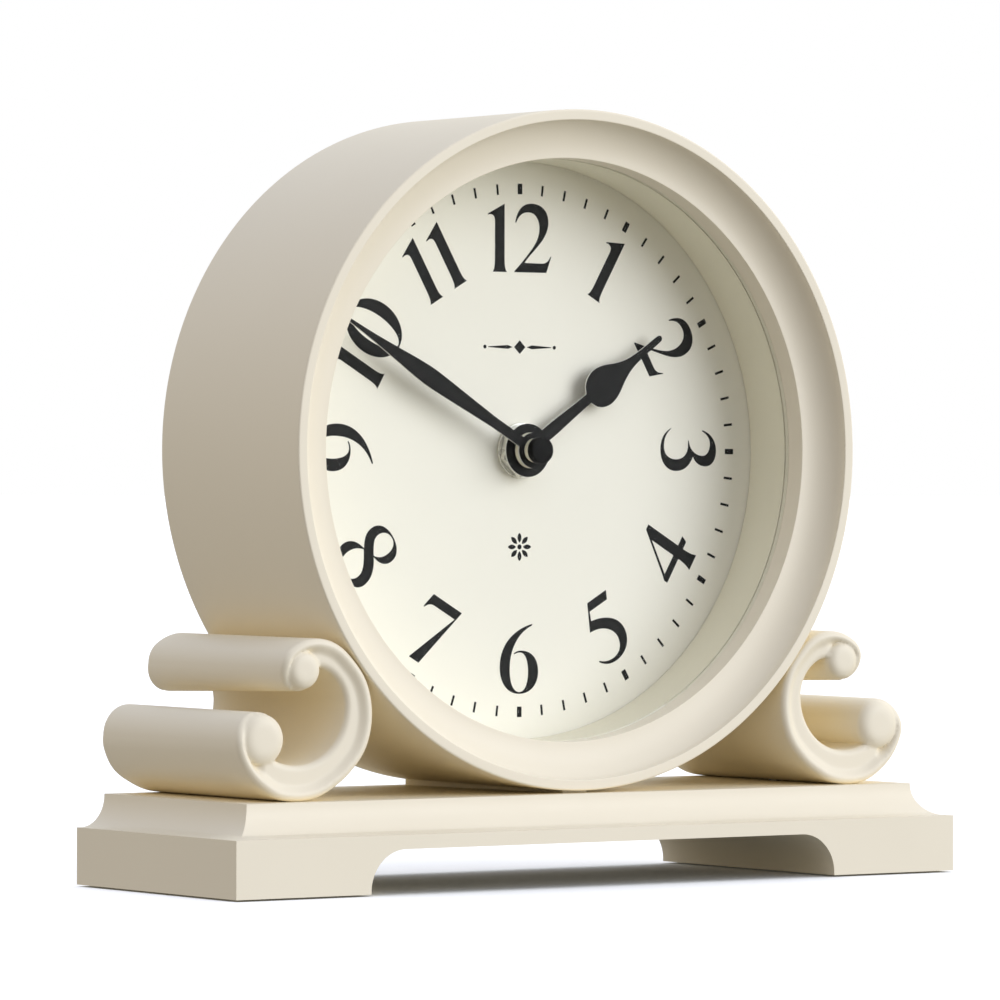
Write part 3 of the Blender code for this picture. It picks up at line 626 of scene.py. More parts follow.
BLEND = 0.5                    # height over which a button melts into the band
FAR = 99.0
ARC_STEP = 3.0                 # degrees
RIM_STEP = 4
GRID = 0.42                    # spacing of the points that fill the front
ROW_RATIO = 0.87               # rows of such a grid lie closer than its points


def arc_chain(start, heading, arcs, side):
    """Points along arcs that join smoothly; heading in degrees from +x, side +1 turns left."""
    x, z = start
    turn = math.radians(heading)
    points = [start]
    for radius, sweep in arcs:
        centre = (x - side * radius * math.sin(turn), z + side * radius * math.cos(turn))
        steps = math.ceil(sweep / ARC_STEP)
        for _ in range(steps):
            turn += side * math.radians(sweep) / steps
            x, z = centre[0] + side * radius * math.sin(turn), centre[1] - side * radius * math.cos(turn)
            points.append((x, z))
    return points


def rim(button, start, end):
    """Points round a button from one point to another, counter-clockwise, without the ends."""
    x, z, radius = button
    low = math.atan2(start[1] - z, start[0] - x)
    high = math.atan2(end[1] - z, end[0] - x)
    if high < low:
        high += 2 * math.pi
    steps = math.ceil(math.degrees(high - low) / RIM_STEP)
    return [(x + radius * math.cos(low + (high - low) * i / steps),
             z + radius * math.sin(low + (high - low) * i / steps)) for i in range(1, steps)]


def nearest(points, line):
    """Distance from each point to an open line, and how far along the line its foot is."""
    line = np.array(line)
    start, step = line[:-1], np.diff(line, axis=0)
    lengths = np.linalg.norm(step, axis=1)
    travelled = np.concatenate(([0], np.cumsum(lengths)))
    offset = points[:, None, :] - start[None]
    share = np.clip((offset * step).sum(2) / (lengths ** 2), 0, 1)
    gaps = np.linalg.norm(offset - share[..., None] * step, axis=2)
    best = gaps.argmin(1)
    rows = np.arange(len(points))
    return gaps[rows, best], travelled[best] + share[rows, best] * lengths[best], travelled[-1]


def quarter(distance, radius):
    """How far a rounded edge has fallen at a distance in from the edge."""
    inside = np.clip(radius - distance, 0, radius)
    return radius - np.sqrt(np.maximum(radius ** 2 - inside ** 2, 0))


def blended_top(one, two):
    """The higher of two surfaces, softened where they meet."""
    overlap = np.maximum(BLEND - np.abs(one - two), 0) / BLEND
    return np.maximum(one, two) + overlap ** 2 * BLEND / 4


def scroll_relief(points, outer, inner, unbeaded):
    """How far the front stands forward of the scroll's front plane at each (x, z) point."""
    edge, along, total = nearest(points, outer)
    from_end = np.minimum(along, total - along)
    from_opening = nearest(points, inner)[0]
    crest = 0.75 * BEAD
    gap = np.full(len(points), FAR)
    buttons = np.full(len(points), -FAR)
    for x, z, radius in (UPPER_BUTTON, LOWER_BUTTON):
        reach = np.hypot(points[:, 0] - x, points[:, 1] - z)
        gap = np.minimum(gap, edge + np.abs(reach - radius))
        rise = np.sqrt(1 - np.minimum(reach / radius, 1) ** BUTTON_POWER)
        button = BUTTON_EDGE + (BUTTON_TOP - BUTTON_EDGE) * rise
        skirt = BUTTON_EDGE - BUTTON_SKIRT * (reach - radius)
        buttons = np.maximum(buttons, np.where(reach < radius, button, skirt))
    hollow = HOLLOW_DEPTH * smoothstep(5.0, 2.0, gap) * smoothstep(2.0, 5.0, from_opening)
    front = -(BAND_DEPTH + hollow) * smoothstep(crest, 2 * BEAD, edge) - quarter(edge, crest)
    front -= END_FALL * smoothstep(END_REACH, 0, from_end)
    front -= quarter(nearest(points, unbeaded)[0], EDGE_ROUND)
    return blended_top(front, buttons)


def scroll_mesh():
    """The right-hand scroll: a C-shaped band with a relief on its front and plain sides."""
    outer = list(reversed(arc_chain(OUTER_START, 90, OUTER_UP, -1)))
    outer += arc_chain(OUTER_START, -90, OUTER_DOWN, 1)[1:]
    inner = list(reversed(arc_chain(INNER_START, -90, INNER_DOWN, 1)))
    inner += arc_chain(INNER_START, 90, INNER_UP, -1)[1:]
    outer = [(x - BACK_SHIFT * float(smoothstep(*BACK_RANGE, x)),
              z - SCROLL_REST * float(smoothstep(*REST_RANGE, z))) for x, z in outer]
    lower_rim = rim(LOWER_VOLUTE, outer[-1], inner[0])
    upper_rim = rim(UPPER_VOLUTE, inner[-1], outer[0])
    unbeaded = lower_rim + inner + upper_rim
    outline = outer + unbeaded
    count = len(outline)
    closed = outline + outline[:1]

    # rows of points that follow the outline, then an even fill
    corners = np.array(outline)
    across = np.roll(corners, -1, axis=0) - np.roll(corners, 1, axis=0)
    across = np.stack([-across[:, 1], across[:, 0]], 1) / np.linalg.norm(across, axis=1)[:, None]
    inside = []
    for turn in (15, 30, 45, 60, 75, 90):
        inset = EDGE_ROUND * (1 - math.cos(math.radians(turn)))
        row = corners + across * inset
        inside.append(row[nearest(row, closed)[0] > inset * 0.96])
    low, high = corners.min(0), corners.max(0)
    grid = np.array([(x + (row % 2) * GRID / 2, z)
                     for row, z in enumerate(np.arange(low[1], high[1], GRID * ROW_RATIO))
                     for x in np.arange(low[0], high[0], GRID)])
    inside.append(grid[nearest(grid, closed)[0] > EDGE_ROUND + GRID * 0.7])
    cloud = [Vector(point) for point in outline] + [Vector(point) for point in np.concatenate(inside)]
    loop = [(i, (i + 1) % count) for i in range(count)]
    flat, _, faces, origins, _, _ = delaunay_2d_cdt(cloud, loop, [list(range(count))], 1, 1e-6)

    bm = bmesh.new()
    places = np.array([tuple(point) for point in flat])
    heights = scroll_relief(places, outer, inner, unbeaded)
    front = [bm.verts.new((x, SCROLL_FRONT - height, z)) for (x, z), height in zip(places, heights)]
    for face in faces:
        bm.faces.new([front[i] for i in face])
    edge = {origin: i for i, found in enumerate(origins) for origin in found if origin < count}
    border = [front[edge[i]] for i in range(count)]
    spread = REAR_SPREAD + REAR_DROP * np.maximum(across[:, 1], 0)
    spread *= smoothstep(*SPREAD_X, corners[:, 0]) * smoothstep(*SPREAD_Z, corners[:, 1])
    spread *= smoothstep(*OPENING_FADE, nearest(corners, inner)[0])
    back = [bm.verts.new((x, SCROLL_REAR, z)) for x, z in corners - across * spread[:, None]]
    join_rings(bm, [(border, back)])
    bm.faces.new(back)
    return bm


def make_scrolls():
    for side, name, node, screw in ((1, "right_scroll", "scroll_right", "scroll_screw_right"),
                                    (-1, "left_scroll", "scroll_left", "scroll_screw_left")):
        bm = scroll_mesh()
        if side < 0:
            bm.transform(Matrix.Scale(-1, 4, (1, 0, 0)))
        hole = upright_hole(SCREW_BITE, middle(screw), -8, limits(screw)[1].z + 0.3)
        piece(name, combined(shape(bm), [hole]), "clock", "cream", [node], bevel=0.5, angle=62)


# ---------------------------------------------------------------- dial printing

DIAL_FACE = limits("dial_plate")[0].y
PRINT_BACK = DIAL_FACE - 0.006
PRINT_FRONT = DIAL_FACE - 0.03
NUMERAL_RADIUS = 46.5
MARK_INNER, MARK_OUTER = 56.3, 58.6
HOUR_MARK, MINUTE_MARK = 0.6, 0.27     # half widths
ABOVE_CENTRE, BELOW_CENTRE = 22.7, -21.2

# strokes are (x, height) for a straight line or (x, height) three times for a curve
ONE = ((-1.9, -7.35), (1.95, -7.35), (1.45, -6.9, 1.3, -6.2, 1.28, -4.5), (1.28, 7.6), (-3.2, 5.35),
       (-3.15, 5.1), (-2.4, 5.4, -1.28, 5.3, -1.28, 3.8), (-1.28, -4.5),
       (-1.3, -6.2, -1.45, -6.9, -1.9, -7.35))
TWO = ((-1.43, -7.35), (7.1, -7.35), (7.4, -6.6, 7.9, -5.2, 8.45, -3.8), (8.2, -3.8),
       (7.6, -4.9, 7.1, -5.3, 5.9, -5.35), (1.25, -5.25), (2.7, -3.4, 5.2, -1.5, 6.4, 0.25),
       (7.3, 1.6, 7.65, 2.6, 7.65, 3.8), (7.65, 6.3, 5.8, 7.8, 3.15, 7.8),
       (0.6, 7.8, -0.75, 6.2, -1.25, 3.6), (-1.0, 3.5), (-0.4, 5.0, 0.6, 5.87, 2.3, 5.87),
       (4.1, 5.87, 5.25, 4.4, 5.25, 2.4), (5.25, 0.6, 4.4, -0.9, 3.0, -2.5),
       (1.8, -3.9, 0.2, -5.6, -1.43, -7.1))
THREE = ((-4.75, 3.5), (-4.2, 5.6, -2.6, 7.3, -0.2, 7.3), (1.9, 7.3, 3.35, 6.1, 3.35, 4.3),
         (3.35, 2.7, 2.5, 1.4, 1.15, 0.85), (3.1, 0.1, 4.4, -1.6, 4.4, -3.8),
         (4.4, -6.4, 2.5, -8.15, -0.4, -8.15), (-2.8, -8.15, -4.4, -7.0, -5.2, -5.15), (-5.0, -5.25),
         (-4.2, -6.4, -2.9, -7.2, -1.2, -7.2), (0.8, -7.2, 1.8, -5.7, 1.8, -3.8),
         (1.8, -1.7, 0.4, -0.45, -1.4, -0.5), (-2.4, -0.5), (-2.35, -0.25),
         (-0.6, -0.2, 1.0, 1.5, 1.0, 3.5), (1.0, 4.8, -0.2, 5.6, -1.7, 5.6),
         (-3.0, 5.6, -3.9, 4.7, -4.5, 3.4))
FOUR = ((0.15, -6.95), (4.05, -6.95), (3.5, -5.9, 3.4, -4.8, 3.38, -3.07), (5.2, -3.07), (5.78, -1.5),
        (3.38, -1.5), (3.38, 7.97), (2.1, 7.97), (-4.6, -1.3), (-5.3, -2.1), (-5.3, -3.07), (0.83, -3.07),
        (0.8, -4.8, 0.7, -5.9, 0.15, -6.95))
FOUR_COUNTER = ((0.83, 5.4), (0.83, -1.5), (-4.0, -1.5))
FIVE = ((-1.0, 8.1), (4.85, 8.1), (4.05, 6.15), (-1.4, 6.15), (-2.05, 4.1),
        (1.9, 3.4, 5.0, 1.2, 5.0, -2.0), (5.0, -4.9, 2.7, -6.95, -0.4, -6.95),
        (-2.2, -6.95, -3.7, -6.2, -4.7, -4.85), (-4.5, -4.65), (-3.4, -5.6, -2.3, -6.05, -0.9, -6.05),
        (1.3, -6.05, 2.5, -4.6, 2.5, -2.6), (2.5, -0.4, 0.0, 1.9, -3.6, 2.05))
SIX = ((3.4, 8.35), (-2.0, 7.0, -5.25, 3.6, -5.25, -1.1), (-5.25, -4.8, -3.0, -7.0, 0, -7.0),
       (3.1, -7.0, 5.05, -4.9, 5.05, -2.1), (5.05, 0.8, 3.1, 2.5, 0.5, 2.5),
       (-0.3, 2.5, -1.0, 2.3, -1.5, 1.9), (-1.3, 1.7), (-0.9, 2.0, -0.3, 2.1, 0.2, 2.1),
       (1.6, 2.1, 2.35, 0.2, 2.35, -2.1), (2.35, -4.8, 1.5, -6.6, 0, -6.6),
       (-1.7, -6.6, -2.6, -4.5, -2.6, -1.6), (-2.6, 2.6, -0.6, 6.4, 3.4, 8.0))
SEVEN = ((-4.0, 7.97), (4.55, 7.97), (-0.05, -6.95), (-2.95, -6.95), (3.55, 5.85), (-2.6, 5.85),
         (-3.7, 5.8, -4.4, 5.2, -4.8, 4.35), (-5.05, 4.5))
EIGHT = ((0, 8.12), (-2.9, 8.1, -4.85, 6.6, -4.85, 4.4), (-4.85, 2.4, -3.6, 1.3, -2.0, 0.35),
         (-4.4, -0.4, -5.6, -1.9, -5.6, -3.7), (-5.6, -5.9, -3.4, -7.2, -0.4, -7.2),
         (2.9, -7.2, 4.9, -5.9, 4.9, -3.8), (4.9, -1.2, 3.1, 0.5, 0.85, 1.55),
         (2.9, 2.0, 4.05, 3.2, 4.05, 4.9), (4.05, 7.0, 2.3, 8.12, 0, 8.12))
EIGHT_TOP = ((0, 7.75), (1.4, 7.7, 2.15, 6.4, 2.15, 4.7), (2.15, 3.3, 1.5, 2.3, 0.6, 1.7),
             (-1.6, 2.9, -2.7, 3.6, -2.7, 5.1), (-2.7, 6.6, -1.6, 7.75, 0, 7.75))
EIGHT_BOTTOM = ((-1.85, 0.15), (0.6, -1.2, 2.5, -2.2, 2.5, -4.3), (2.5, -5.9, 1.2, -6.8, -0.4, -6.8),
                (-2.3, -6.8, -3.5, -5.6, -3.5, -3.6), (-3.5, -2.0, -2.9, -0.8, -1.85, 0.15))


def traced(strokes, steps=10):
    """The points of an outline, without its last point where it closes on the first."""
    points = [Vector(strokes[0])]
    for stroke in strokes[1:]:
        if len(stroke) == 2:
            points.append(Vector(stroke))
            continue
        start, (a, b, end) = points[-1], (Vector(stroke[i:i + 2]) for i in (0, 2, 4))
        for step in range(1, steps + 1):
            t = step / steps
            points.append(start * (1 - t) ** 3 + a * 3 * t * (1 - t) ** 2
                          + b * 3 * t * t * (1 - t) + end * t ** 3)
    if (points[0] - points[-1]).length < 1e-6:
        points.pop()
    return [tuple(point) for point in points]


def glyphs():
    """For each hour, the shapes of its numeral; a shape is an outer loop and its holes."""
    one, two, six = traced(ONE), traced(TWO), traced(SIX)
    nine = [(0.35 - x, 0.5 - z) for x, z in six]      # a six upside down
    return {
        1: [[shifted(one, 0.35)]],
        2: [[shifted(two, -3.88, -0.25)]],
        3: [[traced(THREE)]],
        4: [[traced(FOUR), list(FOUR_COUNTER)]],
        5: [[traced(FIVE)]],
        6: [[six]],
        7: [[traced(SEVEN)]],
        8: [[traced(EIGHT), traced(EIGHT_TOP), traced(EIGHT_BOTTOM)]],
        9: [[nine]],
        10: [[shifted(one, -5.54)], [oval(3.57, 0, 5.85, 7.7), oval(3.57, 0, 2.95, 7.3)]],
        11: [[shifted(one, -2.85)], [shifted(one, 4.4)]],
        12: [[shifted(one, -5.38)], [two]],
    }


def printed(name, shapes):
    """Ink on the dial from shapes in (x, height) measured from the centre of the dial."""
    bm = bmesh.new()
    for loops in shapes:
        add_slab(bm, loops, PRINT_FRONT, PRINT_BACK)
    piece(name, on_axis(shape(bm)), "clock", "hand", look="ink")


def make_numerals():
    """The twelve numerals: their feet point to the centre, and from four to eight to the rim."""
    for hour, shapes in glyphs().items():
        reading = 180 if 4 <= hour <= 8 else 0
        centre = around(NUMERAL_RADIUS, 30 * hour)
        printed(f"numeral_{hour:02d}", [[shifted(turned_outline(loop, 30 * hour + reading), *centre)
                                         for loop in loops] for loops in shapes])


def make_minute_track():
    marks = []
    for minute in range(60):
        half = MINUTE_MARK if minute % 5 else HOUR_MARK
        mark = [(-half, MARK_INNER), (half, MARK_INNER), (half, MARK_OUTER), (-half, MARK_OUTER)]
        marks.append([turned_outline(mark, 6 * minute)])
    printed("minute_track", marks)


def make_ornaments():
    """Two small printed ornaments: a lozenge with tapering lines, and a rosette."""
    line = [(1.9, 0), (3.2, 0.42), (8.4, 0.08), (8.4, -0.08), (3.2, -0.42)]
    diamond = [(0, 1.5), (1.5, 0), (0, -1.5), (-1.5, 0)]
    shapes = [[diamond], [line], [[(-x, z) for x, z in reversed(line)]]]
    for side in (-1, 1):
        shapes.append([oval(side * 9.3, 0, 0.42, 0.42, 20)])
    printed("ornament_above", [[shifted(loop, 0, ABOVE_CENTRE) for loop in loops] for loops in shapes])
    petal = traced(((0, 0.95), (0.75, 1.7, 0.62, 2.6, 0, 3.1), (-0.62, 2.6, -0.75, 1.7, 0, 0.95)))
    shapes = [[turned_outline(petal, 45 * number)] for number in range(8)] + [[oval(0, 0, 0.55, 0.55, 24)]]
    printed("ornament_below", [[shifted(loop, 0, BELOW_CENTRE) for loop in loops] for loops in shapes])


# ---------------------------------------------------------------- hands and hub

HOUR_ANGLE = 55.0
MINUTE_ANGLE = 300.0
HOUR_BOSS = 5.85
MINUTE_BOSS = 3.9
HOUR_BORE = 2.7
MINUTE_BORE = 1.75
COLLAR_LENGTH = 0.55
HAND_CUT = 0.5                 # a face whose normal has less than this along the axis is a cut edge
NUT_RADIUS = 6.1
NUT_TURN = 12
NUT_BORE = 4.15
# (distance from the centre, half width) along each hand
HOUR_STATIONS = ((9, 1.5), (20, 1.15), (20.3, 1.6), (21, 2.8), (22.6, 3.95), (24.8, 4.4), (27.5, 3.8),
                 (30.6, 2.3), (33.8, 1.25), (38, 0.85), (43.7, 0.7), (44.3, 0.3))
MINUTE_STATIONS = ((12, 1.18), (20, 1.58), (27, 1.95), (31.5, 2.1), (36, 1.87), (42, 1.3),
                   (49, 0.72), (56, 0.35))


def smooth_stations(stations, steps=8):
    """Extra stations on a smooth curve through the given ones."""
    out = []
    for i in range(len(stations) - 1):
        before = Vector(stations[max(i - 1, 0)])
        start, end = Vector(stations[i]), Vector(stations[i + 1])
        after = Vector(stations[min(i + 2, len(stations) - 1)])
        reach = end.x - start.x
        slope_in = (end.y - before.y) / (end.x - before.x)
        slope_out = (after.y - start.y) / (after.x - start.x)
        for step in range(steps):
            t = step / steps
            value = ((2 * t ** 3 - 3 * t ** 2 + 1) * start.y + (t ** 3 - 2 * t ** 2 + t) * reach * slope_in
                     + (3 * t ** 2 - 2 * t ** 3) * end.y + (t ** 3 - t ** 2) * reach * slope_out)
            out.append((start.x + reach * t, value))
    out.append(stations[-1])
    return out


def hand_outline(boss, stations, angle):
    stations = smooth_stations(stations)
    opening = math.degrees(math.asin(stations[0][1] / boss))
    points = [around(boss, opening + (360 - 2 * opening) * step / 64) for step in range(65)]
    points += [(-half, along) for along, half in stations]
    points += [(half, along) for along, half in reversed(stations)]
    return turned_outline(points, angle)


def make_hand(name, node, body, boss, stations, angle, bore):
    """A hand that is black in front and bare metal on its cut edges."""
    low, high = limits(node)
    mesh = slab([hand_outline(boss, stations, angle), oval(0, 0, bore, bore, 64)], low.y, high.y)
    piece(name, on_axis(mesh), body, "hand", [node], bevel=0.05, angle=50,
          second=("cut_metal", lambda face: abs(face.normal.y) < HAND_CUT))


def make_hub():
    make_hand("hour_pointer", "hour_hand", "hour", HOUR_BOSS, HOUR_STATIONS, HOUR_ANGLE, HOUR_BORE)
    make_hand("minute_pointer", "minute_hand", "minute", MINUTE_BOSS, MINUTE_STATIONS, MINUTE_ANGLE,
              MINUTE_BORE)
    ring_piece("hour_boss_ring", "hour_collet", "hour", "brass", HOUR_BORE, 0.15, look="collet")
    ring_piece("minute_boss_ring", "minute_collet", "minute", "brass", MINUTE_BORE, 0.15, look="collet")
    ring_piece("round_washer", "flat_washer", "clock", "nickel", BUSH_CLEAR, 0.15)

    # a black collar at the foot of the hour hand's ring
    low, high = limits("hour_collet")
    collar = ring(HOUR_BORE + 0.05, high.x + 0.04, high.y - COLLAR_LENGTH, high.y)
    piece("hour_collar", on_axis(collar), "hour", "hand")

    low, high = limits("hand_cap")
    roof = low.y + 0.5
    cap = [(0, low.y, 0), (high.x, low.y, 0.45), (high.x, high.y, 0.1), (MINUTE_BORE, high.y, 0),
           (MINUTE_BORE, roof, 0), (0, roof, 0)]
    piece("centre_cap", on_axis(turned(cap)), "minute", "hand", ["hand_cap"], look="cap")

    low, high = limits("hex_nut")
    corners = [around(NUT_RADIUS, 60 * corner + NUT_TURN) for corner in range(6)]
    nut = slab([corners, oval(0, 0, NUT_BORE, NUT_BORE, 64)], low.y, high.y)
    beyond, chamfer_end = NUT_RADIUS + 0.3, low.y + 0.55
    chamfer = turned([(0, low.y - 0.2, 0), (NUT_RADIUS - 1, low.y - 0.2, 0), (beyond, chamfer_end, 0),
                      (beyond, high.y + 1, 0), (0, high.y + 1, 0)])
    piece("fixing_nut", on_axis(combined(nut, [chamfer], "INTERSECT")), "clock", "nickel",
          ["hex_nut"], bevel=0.06)


# ---------------------------------------------------------------- back

COVER_SCREW_PASSAGE = 1.5
COVER_OPENING = (30.0, 7.0)    # half width and corner reach
COVER_FRAME = (33.0, 9.0)
RIM_GROOVE = (62.6, 63.4)
MOVEMENT_HALF = 28.0
MOVEMENT_CORNER = 3.5
CASE_WALL = 1.1
CASE_BACK_WALL = 1.2
SHELF_TOP, BAY_TOP = -11.3, -12.1    # heights of the wall between the wheels and the cell, from the axis
KNOB_HOLE = 1.6
MARK_DEPTH = (0.3, 0.35)       # how far a raised mark goes into its wall and out of it
TIP_LENGTH = 1.2               # the cell's raised contact
SLEEVE_STEP = 0.25             # how far the cell's metal ends lie inside its sleeve


def rounded_square(half, reach):
    corners = [(half, half, reach), (-half, half, reach), (-half, -half, reach), (half, -half, reach)]
    return filleted(corners, 10)


def make_rear_cover():
    """The screwed cover, with a shallow groove along its rim and a raised frame round its opening."""
    low, high = limits("rear_cover")
    outer = high.x
    opening = rounded_square(*COVER_OPENING)
    plate = turned([(0, low.y, 0), (outer, low.y, 0.2), (outer, high.y, 0.5), (0, high.y, 0)], ROUND_SEGMENTS)
    tools = [slab([opening], low.y - 2, high.y + 2)]
    for node in COVER_SCREWS:
        centre = middle(node)
        hole = disc(COVER_SCREW_PASSAGE, low.y - 1, high.y + 1, 0, 32)
        tools.append(moved(hole, centre.x, 0, centre.z - AXIS_Z))
    tools.append(ring(*RIM_GROOVE, high.y - 0.5, high.y + 1, 0, ROUND_SEGMENTS))
    plate = combined(plate, tools)
    opening_frame = slab([rounded_square(*COVER_FRAME), opening], high.y - 0.4, high.y + 0.7)
    plate = combined(plate, [opening_frame], "UNION")
    piece("back_cover", on_axis(plate), "clock", "case", ["rear_cover"], angle=30)


def turning_arrow(start):
    """An arc with an arrowhead, clockwise from an angle about the origin."""
    outside = [around(7.9, start + 7 * step) for step in range(15)]
    inside = [around(7.1, start + 7 * step) for step in range(15)]
    tip = [around(8.9, start + 98), around(7.5, start + 115), around(6.1, start + 98)]
    return outside + tip + inside[::-1]


def make_movement_back():
    """The rear half of the movement case, with a wall round the cell bay and turning arrows."""
    low, high = limits("movement_rear")
    knob = middle("setting_knob")
    knob_z = knob.z - AXIS_Z
    inner = MOVEMENT_HALF - CASE_WALL
    shell = slab([rounded_square(MOVEMENT_HALF, MOVEMENT_CORNER)], low.y, high.y)
    hollow = block((-inner, inner), (low.y - 1, high.y - CASE_BACK_WALL), (SHELF_TOP, inner))
    bay = block((-inner, inner), (low.y - 1, high.y + 2), (-inner, BAY_TOP))
    knob_hole = moved(disc(KNOB_HOLE, high.y - 3, high.y + 2, 0, 32), knob.x, 0, knob_z)
    shell = combined(shell, [hollow, bay, knob_hole])
    surface = (high.y - MARK_DEPTH[0], high.y + MARK_DEPTH[1])
    raised = [moved(slab([turning_arrow(start)], *surface), knob.x, 0, knob_z) for start in (200, 20)]
    # a minus and a plus sign above the ends of the cell
    for x in (-19.5, 19.5):
        raised.append(block((x - 2.0, x + 2.0), surface, (-9.6, -9.0)))
    raised.append(block((19.2, 19.8), surface, (-11.2, -7.4)))
    shell = combined(shell, raised, "UNION")
    piece("movement_back", on_axis(shell), "clock", "case", ["movement_rear"], bevel=0.12, angle=50)


def make_cell():
    low, high = limits("battery_cell")
    centre = middle("battery_cell")
    radius = high.y - centre.y
    metal = radius - SLEEVE_STEP
    shoulder = high.x - TIP_LENGTH
    profile = [(0, low.x + 0.35, 0), (5.4, low.x + 0.35, 0.2), (5.9, low.x, 0.2), (metal, low.x, 0.3),
               (metal, low.x + 0.7, 0.15), (radius, low.x + 0.9, 0.1), (radius, shoulder - 0.9, 0.1),
               (metal, shoulder - 0.7, 0.15), (metal, shoulder, 0.4),
               (3.6, shoulder, 0.2), (2.7, shoulder + 0.3, 0.2), (2.7, high.x, 0.3), (0, high.x, 0)]
    mesh = moved(turned(profile, axis="X"), 0, centre.y, centre.z)
    piece("cell", mesh, "battery", "cell", ["battery_cell"], angle=35)


# ---------------------------------------------------------------- soft parts and knob

# (share of the radius, share of the height) up the side of a felt foot, pressed at its lower rim
FELT_PROFILE = ((0, 0.0), (0.3, 0.0), (0.6, 0.02), (0.82, 0.06), (0.93, 0.14), (0.985, 0.32), (1.0, 0.55),
                (0.99, 0.8), (0.965, 0.95), (0.9, 1.0), (0.5, 1.0), (0, 1.0))
FELT_STEPS = 60
FELT_FRAY = 0.012
FRAYED_FROM = 0.8              # share of the radius beyond which the felt's edge is uneven
GRIP_RADIUS = 4.82
FLUTE_DEPTH = 0.16
PINION_TEETH = 12
PINION_WIDTH = 1.1
# (degrees from the middle of a tooth, radius)
TOOTH = ((-9.5, 2.45), (-6.5, 2.5), (-3.0, 3.3), (3.0, 3.3), (6.5, 2.5), (9.5, 2.45))
SLOT_HALF = (3.4, 0.55)        # half length and half width of the slot in the knob
SHAFT_RADIUS = 1.3


def felt_foot(number, low, high):
    """A felt disc with a pressed rim and a slightly uneven edge, different for each foot."""
    centre, radius = (low + high) / 2, (high.x - low.x) / 2
    bm = bmesh.new()
    rings = []
    for share, rise in FELT_PROFILE:
        points = []
        for step in range(FELT_STEPS if share else 1):
            turn = 2 * math.pi * step / FELT_STEPS
            uneven = (1 + math.sin(turn * 7 + number)) * (1 + math.sin(turn * 13 + 2 * number)) / 2
            reach = radius * share * (1 - FELT_FRAY * uneven if share > FRAYED_FROM else 1)
            points.append(bm.verts.new((centre.x + reach * math.cos(turn), centre.y + reach * math.sin(turn),
                                        low.z + (high.z - low.z) * rise)))
        rings.append(points)
    join_rings(bm, zip(rings, rings[1:]))
    return shape(bm)


def make_soft_parts():
    for number, node in enumerate(FEET):
        foot = felt_foot(number, *limits(node))
        pad = piece(node.replace("pad", "felt_foot"), foot, "clock", "felt", [node], angle=70)
    ring_piece("soft_washer", "rubber_washer", "clock", "rubber", BUSH_CLEAR, 0.3)


def make_knob():
    """The setting knob: a fluted grip with a slot, its shaft and its pinion."""
    low, high = limits("setting_knob")
    centre = middle("setting_knob")
    case_back = limits("movement_rear")[1].y
    grip = [around(GRIP_RADIUS + FLUTE_DEPTH * math.cos(math.radians(36 * step)), 1.2 * step)
            for step in range(300)]
    pinion = [around(radius, 360 * tooth / PINION_TEETH + offset)
              for tooth in range(PINION_TEETH) for offset, radius in TOOTH]
    parts = [disc(SHAFT_RADIUS, low.y + 0.4, case_back + 1, 0, 32), slab([grip], case_back + 0.3, high.y)]
    knob = combined(slab([pinion], low.y, low.y + PINION_WIDTH), parts, "UNION")
    length, width = SLOT_HALF
    knob = combined(knob, [block((-length, length), (high.y - 0.7, high.y + 1), (-width, width))])
    piece("time_setter", moved(knob, centre.x, 0, centre.z), "setting", "nylon", ["setting_knob"], bevel=0.1)


# ---------------------------------------------------------------- CAD nodes that still show

NODE_FINISHES = {
    "steel": (*DRUM_SCREWS, *SCROLL_SCREWS, *COVER_SCREWS, "retaining_ring", "stator", "coil_core"),
    "board": ("dial_board",),
    "case": ("movement_front",),
    "brass": ("threaded_bush", "minute_arbor", "centre_wheel"),
    "nylon": ("train_bridge", "minute_work_wheel", "hour_wheel", "third_wheel", "seconds_wheel",
              "intermediate_wheel", "coil_bobbin"),
    "magnet": ("rotor",),
    "copper": ("coil_winding",),
    "circuit": ("circuit_board",),
    "nickel": ("quartz_crystal", "contact_positive", "contact_negative"),
}


def finish_frame_nodes():
    """Gives every CAD node that still shows its finish, with softened edges."""
    finish_of = {name: look for look, names in NODE_FINISHES.items() for name in names}
    for name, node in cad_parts.items():
        if node.hide_render:
            continue
        node.data.materials.clear()
        node.data.materials.append(FINISHES[finish_of[name]])
        soften(node, 0.08, 50, 2)


# ---------------------------------------------------------------- studio

CAMERA_PLACE = (-0.8053, -1.1498, 0.0859)
CAMERA_TURN = 34.79            # degrees right of straight ahead
CAMERA_DIP = 0.11              # degrees below level
CAMERA_ROLL = 0.08
CAMERA_LENS = 230.2
SENSOR_WIDTH = 36
KEY_DIRECTION = (0.60, -0.78, 0.24)
KEY_ENERGY = 1.85
KEY_WIDTH = 48                 # degrees across
KEY_COLOUR = (0.985, 1.015, 1.065)
FLOOR_RADIUS = 60              # metres
FLOOR_ENERGY = 1.7
FLOOR_LIGHT_WIDTH = 75
# the floor and its light are tinted against each other, so that both its lit and shaded parts look neutral
FLOOR_COLOUR = (0.90, 0.93, 1.0)
FLOOR_LIGHT_COLOUR = (1.0, 0.94, 0.86)
CARD_COLOUR = (0.16, 0.17, 0.19)
# soft light that comes from around each direction, as (direction, colour)
SKY_LOBES = (
    ((0, 0, 1), (0.84, 0.92, 1.08)),
    ((-1, 0, 0), (0.46, 0.40, 0.30)),
    ((1, 0, 0), (0.80, 0.73, 0.54)),
    ((0, 1, 0), (0.21, 0.20, 0.19)),
    ((0, 0, -1), (0.15, 0.18, 0.20)),
)


